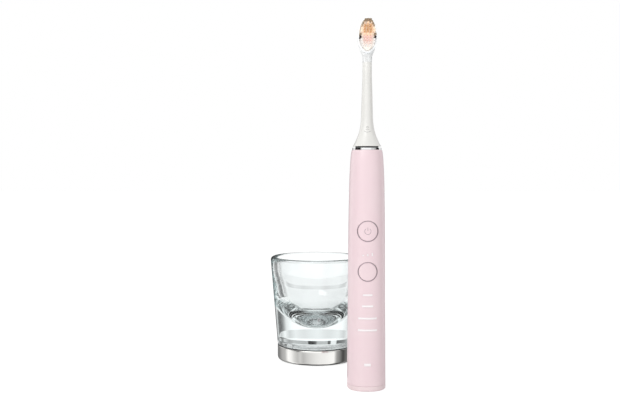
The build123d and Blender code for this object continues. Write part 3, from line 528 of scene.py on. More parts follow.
def superellipse(half_x: Any, half_y: Any, power: Any, count: int) -> tuple[np.ndarray, np.ndarray]:
    """Oval that is fuller than an ellipse, as the places of its points on X and Y.

    Args:
        half_x: half its width; this and the next two may differ from point to point.
        half_y: half its depth.
        power: two for an ellipse; the larger, the squarer.
        count: how many points it has.

    Returns:
        The places on X, and those on Y.
    """
    across, along = np.cos(around(count)), np.sin(around(count))
    x = half_x * np.sign(across) * np.abs(across) ** (2 / power)
    return x, half_y * np.sign(along) * np.abs(along) ** (2 / power)


def quarter(radius: float, steps: int) -> Outline:
    """Rounded edge, from the face beside it to the face on top.

    Args:
        radius: radius of the edge.
        steps: steps of its arc.

    Returns:
        How far in from the one face and below the other each point lies.
    """
    turns = np.linspace(0.0, math.pi / 2, steps + 1)
    return [(radius * (1 - math.cos(t)), radius * (1 - math.sin(t))) for t in turns]


def smooth_step(share: float) -> float:
    """Smooth ramp from nought to one."""
    t = min(max(share, 0.0), 1.0)
    return t * t * (3 - 2 * t)


def smooth_max(first: float, second: float, width: float) -> float:
    """Larger of two values, with a soft change from one to the other over width."""
    gap = max(width - abs(first - second), 0.0) / width
    return max(first, second) + gap * gap * width / 4


def hermite(t: float, span: float, ends: tuple[Any, Any], slopes: tuple[Any, Any]) -> Any:
    """Place on a span that leaves one end and reaches the other at given slopes.

    Args:
        t: share of the span that is passed.
        span: its length.
        ends: value at either end.
        slopes: slope at either end.

    Returns:
        The value there.
    """
    start = (2 * t**3 - 3 * t**2 + 1) * ends[0] + (t**3 - 2 * t**2 + t) * span * slopes[0]
    end = (3 * t**2 - 2 * t**3) * ends[1] + (t**3 - t**2) * span * slopes[1]
    return start + end


def smooth_value(stations: list[Point], place: float) -> float:
    """Value at a place on a smooth curve through stations, without overshoot.

    Args:
        stations: places and their values, in rising order of place.
        place: where the value is wanted.

    Returns:
        The value there.
    """
    places, values = zip(*stations)
    rises = [(b - a) / (q - p) for a, b, p, q in zip(values, values[1:], places, places[1:])]
    slopes = [rises[0]]
    for before, after in zip(rises, rises[1:]):
        slopes.append(2 * before * after / (before + after) if before * after > 0 else 0.0)
    slopes.append(rises[-1])
    place = min(max(place, places[0]), places[-1])
    i = 0
    while i < len(rises) - 1 and place > places[i + 1]:
        i += 1
    span = places[i + 1] - places[i]
    return hermite((place - places[i]) / span, span, values[i : i + 2], slopes[i : i + 2])


def spline(knots: np.ndarray, steps: int, closed: bool) -> np.ndarray:
    """Smooth curve through knots.

    Args:
        knots: places that it goes through, in order.
        steps: steps from one knot to the next.
        closed: whether it returns to its first knot; if not, it leaves its ends along their chords.

    Returns:
        Points on the curve, the last knot's included, or the first one's again.
    """
    size = len(knots)
    spans = np.linalg.norm(np.roll(knots, -1, axis=0) - knots, axis=1)
    matrix, right = np.zeros((size, size)), np.zeros((size, 2))
    for i in range(size):
        if not closed and i in (0, size - 1):
            first = min(i, size - 2)
            matrix[i, i], right[i] = 1, (knots[first + 1] - knots[first]) / spans[first]
            continue
        j, before, after = (i + 1) % size, spans[i - 1], spans[i]
        matrix[i, i - 1] += 1 / before
        matrix[i, i] += 2 / before + 2 / after
        matrix[i, j] += 1 / after
        right[i] = 3 * ((knots[i] - knots[i - 1]) / before**2 + (knots[j] - knots[i]) / after**2)
    slopes = np.linalg.solve(matrix, right)
    points = []
    for i in range(size if closed else size - 1):
        j = (i + 1) % size
        for t in np.arange(steps) / steps:
            points.append(hermite(t, spans[i], (knots[i], knots[j]), (slopes[i], slopes[j])))
    return np.array([*points, points[0] if closed else knots[-1]])


def arc(centre: Point, radius: float, start: float, end: float, steps: int = 40) -> Outline:
    """Points of x and z along an arc.

    Args:
        centre: its middle.
        radius: its radius.
        start: angle of its first point, in degrees from the right.
        end: angle of its last point.
        steps: steps along it.

    Returns:
        Its points, in order.
    """
    turns = [math.radians(start + (end - start) * step / steps) for step in range(steps + 1)]
    return [(centre[0] + radius * math.cos(t), centre[1] + radius * math.sin(t)) for t in turns]


def rounded(corners: list[tuple[float, float, float]], steps: int = 6) -> Outline:
    """Closed outline in radius and height with its corners rounded.

    Args:
        corners: radius, height and corner radius of each corner, in order.
        steps: arc steps on each rounded corner.

    Returns:
        Points of the outline.
    """
    points: Outline = []
    for index, (x, y, radius) in enumerate(corners):
        if radius <= 0:
            points.append((x, y))
            continue
        corner = np.array((x, y))
        before = np.array(corners[index - 1][:2]) - corner
        after = np.array(corners[(index + 1) % len(corners)][:2]) - corner
        before, after = before / np.linalg.norm(before), after / np.linalg.norm(after)
        half = math.acos(float(np.clip(np.dot(before, after), -1, 1))) / 2
        centre = corner + (before + after) / np.linalg.norm(before + after) * radius / math.sin(half)
        start, end = (corner + side * radius / math.tan(half) - centre for side in (before, after))
        turn = math.pi - 2 * half
        for t in np.arange(steps + 1) / steps:
            arm = (math.sin((1 - t) * turn) * start + math.sin(t * turn) * end) / math.sin(turn)
            points.append((float(centre[0] + arm[0]), float(centre[1] + arm[1])))
    return points


def skin(rings: list[Ring], closed: bool = False) -> Form:
    """Join rings of points, each to the next, into one surface.

    Args:
        rings: arrays of points, all as long as each other; an array of one point is a pole.
        closed: whether the last ring joins the first.

    Returns:
        The points, and faces that all point outwards.
    """
    starts = np.cumsum([0] + [len(ring) for ring in rings])
    pairs = list(zip(range(len(rings) - 1), range(1, len(rings))))
    if closed:
        pairs.append((len(rings) - 1, 0))
    faces: Faces = []
    for low, high in pairs:
        below, above = len(rings[low]), len(rings[high])
        for i in range(max(below, above)):
            j = (i + 1) % max(below, above)
            around_face = (starts[low] + i % below, starts[low] + j % below)
            around_face += (starts[high] + j % above, starts[high] + i % above)
            corners = tuple(int(k) for k in dict.fromkeys(around_face))
            if len(corners) > 2:
                faces.append(corners)
    points = np.vstack(rings)
    return points, outward(points, faces)


def outward(points: np.ndarray, faces: Faces) -> Faces:
    """Turn all faces over if they enclose a negative volume.

    Args:
        points: the surface's points.
        faces: its faces.

    Returns:
        The faces, pointing outwards.
    """
    total = 0.0
    for face in faces:
        for second, third in zip(face[1:], face[2:]):
            total += float(np.dot(points[face[0]], np.cross(points[second], points[third])))
    return [face[::-1] for face in faces] if total < 0 else faces


def capped(rings: list[Ring]) -> Form:
    """Join rings into a surface that is closed at both ends."""
    ends = [np.array([ring.mean(axis=0)]) for ring in (rings[0], rings[-1])]
    return skin([ends[0], *rings, ends[1]])


def turned(outline: Outline, centre: Point, segments: int = 96, closed: bool = True) -> Form:
    """Turn an outline of radius and height about an upright axis.

    Args:
        outline: radius and height of each point.
        centre: place of the axis, in mm.
        segments: facets round the axis.
        closed: whether the last point joins the first.

    Returns:
        Points in mm, and faces.
    """
    return skin([circle(centre, radius, z, segments) for radius, z in outline], closed)


def merged(forms: list[Form]) -> Form:
    """Put several forms side by side in one.

    Args:
        forms: points and faces of each.

    Returns:
        Points and faces of all.
    """
    points, faces, start = [], [], 0
    for made, joined in forms:
        faces += [tuple(k + start for k in face) for face in joined]
        points.append(made)
        start += len(made)
    return np.vstack(points), faces


def printed(
    path: Outline, width: float, middle: float, surface: Callable[[float, float], float], film: float = 0.02
) -> Form:
    """Printed line along a path of x and z on a surface that faces the front.

    Args:
        path: places along the line, with x counted from the middle.
        width: width of the line.
        middle: place of the surface's middle on X.
        surface: depth of the surface at a place x and z.
        film: thickness of the ink.

    Returns:
        Points in mm, and faces.
    """
    points = np.array(path)
    along = np.gradient(points, axis=0)
    side = np.column_stack((-along[:, 1], along[:, 0])) / np.linalg.norm(along, axis=1)[:, None]
    section = ((-0.5, 0.0), (-0.42, film), (0.42, film), (0.5, 0.0), (0.5, -4 * film), (-0.5, -4 * film))
    rings = []
    for place, across in zip(points, side):
        spots = [(*(place + across * offset * width), lift) for offset, lift in section]
        rings.append(np.array([(middle + x, surface(x, z) - lift, z) for x, z, lift in spots]))
    return capped(rings)


# ---------------------------------------------------------------- pieces
def middle_of(node: str) -> Point:
    """Place of a node's upright axis, in mm, from its box."""
    low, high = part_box(node)
    return (low.x + high.x) / 2 / MM, (low.y + high.y) / 2 / MM


def levels_of(node: str) -> Point:
    """Lowest and highest point of a node, in mm."""
    low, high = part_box(node)
    return low.z / MM, high.z / MM


def add_object(name: str, form: Form, scale: float = MM) -> bpy.types.Object:
    """Make an object of points and faces.

    Args:
        name: name of object and mesh.
        form: its points, and its faces.
        scale: metres in one of its units.

    Returns:
        The new object.
    """
    mesh = bpy.data.meshes.new(name)
    mesh.from_pydata((np.asarray(form[0]) * scale).tolist(), [], form[1])
    made = bpy.data.objects.new(name, mesh)
    bpy.context.scene.collection.objects.link(made)
    return made


def add_piece(
    name: str,
    form: Form,
    body: Body,
    finish: Finish,
    replaces: tuple[str, ...] = (),
    crease: float = 32.0,
) -> None:
    """Make a piece of the object and put it on its body.

    Args:
        name: name of the new object.
        form: its points in mm, and its faces.
        body: body that it rides on.
        finish: finish of its whole surface.
        replaces: nodes that it stands for.
        crease: edges sharper than this many degrees stay sharp.
    """
    piece = add_object(name, form)
    piece.data.materials.append(finish.build())
    soften(piece.data, crease)
    settle(piece, body, replaces)


def soften(mesh: bpy.types.Mesh, crease: float) -> None:
    """Shade a mesh smooth, except over sharp edges.

    Args:
        mesh: the mesh.
        crease: edges sharper than this many degrees stay sharp.
    """
    mesh.polygons.foreach_set("use_smooth", [True] * len(mesh.polygons))
    mesh.set_sharp_from_angle(angle=math.radians(crease))
    mesh.update()


def keep_result(piece: bpy.types.Object) -> None:
    """Make what a piece's modifiers give its own plain mesh, and take them off.

    Args:
        piece: the piece.
    """
    grown = piece.evaluated_get(bpy.context.evaluated_depsgraph_get())
    piece.data = bpy.data.meshes.new_from_object(grown)
    piece.modifiers.clear()


def settle(piece: bpy.types.Object, body: Body, replaces: tuple[str, ...] = ()) -> None:
    """Put a finished piece on its body and hide the nodes it stands for.

    Args:
        piece: the piece.
        body: body that it rides on.
        replaces: nodes that it stands for.
    """
    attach(piece, body.value)
    if replaces:
        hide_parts(*replaces)
    log.info("%s on %s: %d faces", piece.name, body.value, len(piece.data.polygons))


# ---------------------------------------------------------------- handle
@dataclass
class HandleForm:
    """Outside of the handle: a soft superellipse that narrows towards a small round collar."""

    width: float = 26.8
    depth: float = 29.2
    height: float = 165.2
    power: float = 2.3
    # Drop below the top, and how much each half axis has narrowed there.
    taper: tuple[Point, ...] = (
        (165.2, 0.0), (105.2, 0.43), (46.0, 0.86), (34.0, 1.1), (23.0, 1.34),
        (16.0, 1.6), (10.0, 1.9), (5.0, 2.27), (0.0, 2.9),
    )
    segments: int = 192
    # Height over which the lean of the surface is measured.
    lean_step: float = 0.2
    axis: Point = field(default_factory=lambda: middle_of("top_collar"))

    def narrowing(self, z: float) -> float:
        """How much each half axis has narrowed at height z."""
        return smooth_value([(self.height - drop, amount) for drop, amount in self.taper], z)

    def section(self, inset: float, z: float) -> Ring:
        """Ring of points round the handle.

        Args:
            inset: how far it is drawn in from the outside.
            z: its height.

        Returns:
            Its points, in mm.
        """
        narrow = self.narrowing(z) + inset
        x, y = superellipse(self.width / 2 - narrow, self.depth / 2 - narrow, self.power, self.segments)
        return np.column_stack((self.axis[0] + x, self.axis[1] + y, np.full(self.segments, z)))

    def front(self, x: float, z: float) -> float:
        """Depth of the front surface.

        Args:
            x: place beside the axis.
            z: height.

        Returns:
            The place on Y, in mm.
        """
        narrow = self.narrowing(z)
        share = min(abs(x) / (self.width / 2 - narrow), 1.0)
        return self.axis[1] - (self.depth / 2 - narrow) * (1 - share**self.power) ** (1 / self.power)

    def normal(self, points: np.ndarray) -> np.ndarray:
        """Outward direction of the outside.

        Args:
            points: places on it, in mm.

        Returns:
            A direction of length one for each.
        """
        reach = np.array([self.narrowing(z) for z in points[:, 2]])
        above = np.array([self.narrowing(z + self.lean_step) for z in points[:, 2]])
        lean = (above - reach) / self.lean_step
        half_x, half_y = self.width / 2 - reach, self.depth / 2 - reach
        x, y = points[:, 0] - self.axis[0], points[:, 1] - self.axis[1]
        share_x, share_y = np.abs(x / half_x), np.abs(y / half_y)
        out_x = np.sign(x) * share_x ** (self.power - 1) / half_x
        out_y = np.sign(y) * share_y ** (self.power - 1) / half_y
        up = lean * (share_x**self.power / half_x + share_y**self.power / half_y)
        found = np.column_stack((out_x, out_y, up))
        return found / np.linalg.norm(found, axis=1)[:, None]


@dataclass
class FrontPad:
    """A piece let into the front of the handle, flush with it: a button, a window or a ring."""

    form: HandleForm
    x: float
    z: float
    half_width: float
    half_height: float
    corner: float
    depth: float
    steps: int = 16

    def place(self, x: float, z: float, drop: float) -> tuple[float, float, float]:
        """Point let in by drop from the front surface, x beside the axis and z up."""
        return self.form.axis[0] + x, self.form.front(x, z) + drop, z

    def pole(self, drop: float) -> Ring:
        """Middle of the pad, let in by drop, as a pole."""
        return np.array([self.place(self.x, self.z, drop)])

    def ring(self, inset: float, drop: float) -> Ring:
        """Ring of points on the front surface.

        Args:
            inset: how far it is drawn in from the pad's outline.
            drop: how far it is let in.

        Returns:
            Its points, in mm.
        """
        half_x, half_z = self.half_width - inset, self.half_height - inset
        corner = max(min(self.corner - inset, half_x, half_z), 0.02)
        points = []
        for index, (right, up) in enumerate(((1, 1), (-1, 1), (-1, -1), (1, -1))):
            for step in range(self.steps + 1):
                angle = (index + step / (self.steps + 1)) * math.pi / 2
                x = self.x + (half_x - corner) * right + corner * math.cos(angle)
                z = self.z + (half_z - corner) * up + corner * math.sin(angle)
                points.append(self.place(x, z, drop))
        return np.array(points)

    def solid(self, edge: float, dish: float, boss: float, boss_share: float = 0.65, rings: int = 10) -> Form:
        """Closed round pad with a small rounded edge, and a boss in the middle of its back.

        Args:
            edge: radius of its rounded edge.
            dish: how far its middle is hollowed.
            boss: how far the boss reaches back from the front.
            boss_share: radius of the boss, as a share of the pad's.
            rings: rings between its middle and its edge.

        Returns:
            Points in mm, and faces.
        """
        radius = self.half_width
        stations = [self.pole(dish)]
        for share in np.arange(1, rings + 1) / rings:
            stations.append(self.ring(radius - (radius - edge) * share, dish * (1 - share**2)))
        stations += [self.ring(inset, drop) for drop, inset in quarter(edge, 4)[1:]]
        back = radius * boss_share
        stations += [self.ring(0.0, self.depth), self.ring(back, self.depth), self.ring(back, boss)]
        return skin([*stations, self.pole(boss)])

    def band(self, width: float, edge: float) -> Form:
        """Closed ring round the pad's outline.

        Args:
            width: width of the ring.
            edge: radius of its rounded edges.

        Returns:
            Points in mm, and faces.
        """
        inner = [self.ring(width - inset, drop) for inset, drop in quarter(edge, 3)]
        outer = [self.ring(inset, drop) for inset, drop in reversed(quarter(edge, 3))]
        return skin([self.ring(width, self.depth), *inner, *outer, self.ring(0.0, self.depth)], closed=True)

    def strip(self, edge: float, step: float = 0.5) -> Form:
        """Closed bar across the front, as long as the pad is wide, with a rounded face.

        Args:
            edge: radius of its rounded edges.
            step: most that one section is from the next.

        Returns:
            Points in mm, and faces.
        """
        reach = self.half_width
        corner = min(self.corner, reach, self.half_height)
        inner = reach - corner
        ends = [reach - drop for _, drop in quarter(corner, 4)][1:]
        middle = np.linspace(-inner, inner, 2 + int(2 * inner / step))
        rings = []
        for x in [*(-x for x in reversed(ends)), *middle, *ends]:
            over = max(abs(x) - inner, 0.0)
            half = self.half_height - corner + math.sqrt(max(corner**2 - over**2, 1e-4))
            upper = [(half, self.depth), *((half - inset, drop) for inset, drop in quarter(edge, 3))]
            section = [*upper, *((-z, drop) for z, drop in reversed(upper))]
            rings.append(np.array([self.place(self.x + x, self.z + z, drop) for z, drop in section]))
        return capped(rings)


@dataclass
class Handle:
    """Housing with its foot, buttons, lit windows and chrome collar."""

    form: HandleForm = field(default_factory=HandleForm)
    wall: float = 1.7
    top_wall: float = 2.5
    cap_height: float = 3.7
    cap_seam: float = 0.12
    cap_corner: float = 1.0
    cap_floor: float = 2.2
    # Spigot inside the housing: play beside the wall, top, wall, and the groove round it for the seal.
    spigot_play: float = 0.15
    spigot_top: float = 9.0
    spigot_wall: float = 1.6
    groove: Point = (6.2, 7.4)
    groove_depth: float = 0.6
    top_edge: float = 0.7
    # The top is drawn in closer steps than the rest, down to this much below its edge.
    fine_reach: float = 45.0
    collar_bore: float = 8.05
    # Collar: its radius, how far it is waisted, its hole, and the plug under it in the housing.
    collar_radius: float = 10.0
    collar_waist: float = 0.06
    collar_hole: float = 5.2
    plug_radius: float = 8.0
    plug_length: float = 3.5
    gap: float = 0.05
    power_z: float = 110.0
    power_radius: float = 7.25
    mode_z: float = 82.4
    mode_radius: float = 6.74
    ring_width: float = 0.45
    ring_depth: float = 1.6
    button_gap: float = 0.15
    button_dish: float = 0.12
    button_depth: float = 1.5
    button_boss: float = 3.0
    # Holes are cut from in front of the surface to behind it.
    hole_span: Point = (-2.0, 6.0)
    # Height of each bar above the foot, and its length.
    mode_bars: tuple[Point, ...] = ((66.5, 6.6), (58.9, 7.6), (50.5, 12.6), (42.4, 13.1))
    bar_height: float = 1.3
    battery_z: float = 18.65
    battery_size: Point = (4.5, 1.9)
    intensity_z: float = 94.2
    intensity_pitch: float = 3.1
    intensity_width: float = 0.9
    intensity_sizes: tuple[float, ...] = (0.9, 1.5, 2.1)

    def shell(self) -> Form:
        """Wall of the housing as one closed surface, before its holes are cut."""
        form, top = self.form, self.form.height
        edge_foot, inner_top = top - self.top_edge, top - self.top_wall
        fine_foot = edge_foot - self.fine_reach
        rings = [form.section(0.0, z) for z in np.linspace(self.cap_height, fine_foot - 1, 24)]
        rings += [form.section(0.0, z) for z in np.linspace(fine_foot, edge_foot, 46)]
        rings += [form.section(inset, top - drop) for inset, drop in quarter(self.top_edge, 6)[1:]]
        rings += [circle(form.axis, self.collar_bore, z, form.segments) for z in (top, inner_top)]
        rings += [form.section(self.wall, z) for z in np.linspace(inner_top, self.cap_height, 24)]
        return skin(rings, closed=True)

    def window_pads(self, gap: float = 0.0) -> dict[str, list[FrontPad]]:
        """Pads of the lit windows.

        Args:
            gap: how much larger than its window each is made, all round.

        Returns:
            The pads by the node that each group stands for.
        """

        def pad(x: float, z: float, width: float, height: float) -> FrontPad:
            """Pad of one window at x and z, of a width and height."""
            return FrontPad(self.form, x, z, width / 2 + gap, height / 2 + gap, 0.2, self.wall, steps=3)

        pitch, wide, tallest = self.intensity_pitch, self.intensity_width, self.intensity_sizes[-1]
        return {
            "mode_windows": [pad(0.0, z, length, self.bar_height) for z, length in self.mode_bars],
            "battery_window": [pad(0.0, self.battery_z, *self.battery_size)],
            "intensity_windows": [
                pad((index - 1) * pitch, self.intensity_z - (tallest - height) / 2, wide, height)
                for index, height in enumerate(self.intensity_sizes)
            ],
        }

    def cutters(self) -> bpy.types.Object:
        """Everything that is cut out of the housing, as one mesh."""
        pads = []
        for z, radius in ((self.power_z, self.power_radius), (self.mode_z, self.mode_radius)):
            reach = radius + self.gap
            pads.append(FrontPad(self.form, 0.0, z, reach, reach, reach, self.wall))
        for group in self.window_pads(self.gap).values():
            pads += group
        holes = [capped([pad.ring(0.0, drop) for drop in self.hole_span]) for pad in pads]
        return add_object("holes", merged(holes))

    def polish(self, mesh: bpy.types.Mesh) -> None:
        """Give the outside of the cut housing the exact direction of its form at each corner.

        Args:
            mesh: mesh of the housing.
        """
        soften(mesh, 32.0)
        points = np.empty(len(mesh.vertices) * 3)
        mesh.vertices.foreach_get("co", points)
        points = points.reshape(-1, 3)
        exact = self.form.normal(points / MM)
        corners = np.empty(len(mesh.loops) * 3)
        mesh.corner_normals.foreach_get("vector", corners)
        corners = corners.reshape(-1, 3)
        high = (self.form.height - self.top_edge - 0.4) * MM
        for face in mesh.polygons:
            direction = np.array(face.normal)
            for loop in face.loop_indices:
                vertex = mesh.loops[loop].vertex_index
                # A corner whose face leans away from the form is on an edge or inside a hole.
                if np.dot(direction, exact[vertex]) > 0.97 and points[vertex, 2] < high:
                    corners[loop] = exact[vertex]
        mesh.normals_split_custom_set(corners.tolist())

    def build_housing(self) -> None:
        """Cut the holes in the housing and put it on the handle."""
        housing, cutter = add_object("handle_shell", self.shell()), self.cutters()
        cut = housing.modifiers.new("holes", "BOOLEAN")
        cut.operation, cut.solver, cut.object = "DIFFERENCE", "EXACT", cutter
        keep_result(housing)
        bpy.data.objects.remove(cutter)
        housing.data.materials.clear()
        housing.data.materials.append(PINK_HOUSING.build())
        self.polish(housing.data)
        settle(housing, Body.HANDLE, ("handle_housing",))

    def build_cap(self) -> None:
        """Foot of the handle, with its rounded lower edge and the spigot inside."""
        form, poles = self.form, [circle(self.form.axis, 0.0, z, 1) for z in (0.0, self.cap_floor)]
        top, spigot = self.cap_height - self.cap_seam, self.wall + self.spigot_play
        low, high = self.groove
        inner = spigot + self.spigot_wall
        profile = [(9.0, 0.0), (5.0, 0.0), *reversed(quarter(self.cap_corner, 12))]
        profile += [(0.0, top - 0.15), (0.05, top - 0.04), (0.15, top), (spigot, top), (spigot, low)]
        profile += [(spigot + self.groove_depth, low), (spigot + self.groove_depth, high), (spigot, high)]
        profile += [(spigot, self.spigot_top), (inner, self.spigot_top), (inner, self.cap_floor)]
        solid = skin([poles[0], *(form.section(inset, z) for inset, z in profile), poles[1]])
        add_piece("foot_cap", solid, Body.HANDLE, PINK_CAP, ("base_cap",))

    def build_windows(self) -> None:
        """Lit windows, one piece for each group."""
        for node, group in self.window_pads().items():
            form = merged([pad.strip(edge=0.08) for pad in group])
            add_piece(node.replace("window", "light"), form, Body.HANDLE, LIT_WINDOW, (node,))

    def build_button(self, name: str, body: Body, z: float, radius: float) -> None:
        """A button cap and the thin ring round it.

        Args:
            name: which button it is.
            body: body of the cap; the ring stays on the handle.
            z: height of its middle.
            radius: outer radius of the ring.
        """
        ring = FrontPad(self.form, 0.0, z, radius, radius, radius, self.ring_depth, steps=23)
        band = ring.band(self.ring_width, 0.1)
        add_piece(f"{name}_bezel", band, Body.HANDLE, RING_METAL, (f"{name}_ring",))
        reach = radius - self.ring_width - self.button_gap
        cap = FrontPad(self.form, 0.0, z, reach, reach, reach, self.button_depth, steps=23)
        form = cap.solid(0.25, self.button_dish, self.button_boss)
        add_piece(f"{name}_key", form, body, PINK_HOUSING, (f"{name}_button",))

    def build_power_mark(self, radius: float = 2.15, stroke: float = 0.3, opening: float = 38.0) -> None:
        """Plain on-off sign printed on the upper button: an open ring with a bar.

        Args:
            radius: radius of the ring's middle line.
            stroke: width of the lines.
            opening: half angle of the ring's opening, in degrees.
        """
        reach = self.power_radius - self.ring_width - self.button_gap

        def surface(x: float, z: float) -> float:
            """Depth of the dished face of the button at x and z."""
            share = (x**2 + (z - self.power_z) ** 2) / reach**2
            return self.form.front(x, z) + self.button_dish * (1 - share)

        ring = arc((0.0, self.power_z), radius, 90 + opening, 450 - opening)
        bar = [(0.0, self.power_z + radius * share) for share in (0.15, 0.5, 0.85, 1.2)]
        form = merged([printed(path, stroke, self.form.axis[0], surface) for path in (ring, bar)])
        add_piece("power_mark", form, Body.POWER, GREY_INK)

    def build_collar(self) -> None:
        """Chrome collar, slightly waisted, with a plug that reaches down into the housing."""
        low, high = self.form.height, levels_of("top_collar")[1]
        radius, hole = self.collar_radius, self.collar_hole
        plug, plug_foot = self.plug_radius, low - self.plug_length
        shares = np.linspace(0.08, 0.92, 15)
        waist = [(radius - self.collar_waist * math.sin(math.pi * t), low + (high - low) * t) for t in shares]
        # Rounded edge: how far in from the radius, and how far from the collar's end.
        edge = ((0.2, 0.0), (0.08, 0.02), (0.02, 0.09))
        outline = [*((radius - inset, low + up) for inset, up in edge), *waist]
        outline += [(radius - inset, high - down) for inset, down in reversed(edge)]
        outline += [(hole + 0.2, high), (hole + 0.05, high - 0.05), (hole, high - 0.2)]
        outline += [(hole, plug_foot), (plug, plug_foot), (plug, low)]
        form = turned(outline, self.form.axis, 160)
        add_piece("chrome_collar", form, Body.HANDLE, CHROME, ("top_collar",))

    def build_seal(
        self, bore: float = 2.04, wall: float = 0.7, lip: float = 7.9, rise: float = 1.1, cone: float = 1.4
    ) -> None:
        """Rubber seal: a plug in the collar, a lip over its top and a cone that wipes the shaft.

        Args:
            bore: radius of its bore.
            wall: thickness of its thin parts.
            lip: radius of its lip.
            rise: height of the lip.
            cone: height of the cone above the lip.
        """
        foot, tip = levels_of("shaft_seal")
        plug, top = 5.15, tip - cone
        corners = [(bore + wall, foot, 0.0), (plug, foot, 0.2), (plug, top - rise, 0.1)]
        corners += [(lip, top - rise, 0.2), (lip, top, 0.3), (bore + 2 * wall, top, 0.4)]
        corners += [(bore + wall, tip, 0.15), (bore, tip, 0.1)]
        corners += [(bore, tip - 1.6, 0.2), (bore + wall, tip - 2.3, 0.2)]
        form = turned(rounded(corners, 4), self.form.axis)
        # Dark rubber here is partly painted shade: the shadow in the gap between brush head and collar.
        add_piece("shaft_gaiter", form, Body.HANDLE, DARK_RUBBER_AND_GAP_SHADE, ("shaft_seal",))

    def build(self) -> None:
        """Build everything that shows on the handle."""
        self.build_housing()
        self.build_cap()
        self.build_windows()
        self.build_button("power", Body.POWER, self.power_z, self.power_radius)
        self.build_button("mode", Body.MODE, self.mode_z, self.mode_radius)
        self.build_power_mark()
        self.build_collar()
        self.build_seal()


# ---------------------------------------------------------------- drive shaft
@dataclass
class DriveShaft:
    """Ground steel shaft that comes out of the collar, with the flat that drives the head."""

    radius: float = 2.0
    chamfer: float = 0.4
    foot_chamfer: float = 0.2
    flat: float = 0.5
    flat_length: float = 16.0
    segments: int = 72

    def build(self) -> None:
        """Build the shaft as stacked rings, cut off flat at the back towards its top."""
        axis = middle_of("shaft_seal")
        low, high = levels_of("drive_shaft")
        radius, flat_foot = self.radius, high - self.flat_length
        # Radius, height, and whether the flat is cut there.
        stations = ((0.0, low, False), (radius - self.foot_chamfer, low, False))
        stations += ((radius, low + self.foot_chamfer, False), (radius, flat_foot, False))
        stations += ((radius, flat_foot + 0.02, True), (radius, high - self.chamfer, True))
        stations += ((radius - self.chamfer, high, True), (0.0, high, True))
        rings = []
        for reach, z, cut in stations:
            ring = circle((0.0, 0.0), reach, z, self.segments)
            if cut:
                ring[:, 1] = np.minimum(ring[:, 1], radius - self.flat)
            rings.append(ring + (*axis, 0.0))
        add_piece("ground_shaft", skin(rings), Body.DRIVE, SHAFT_STEEL, ("drive_shaft",))


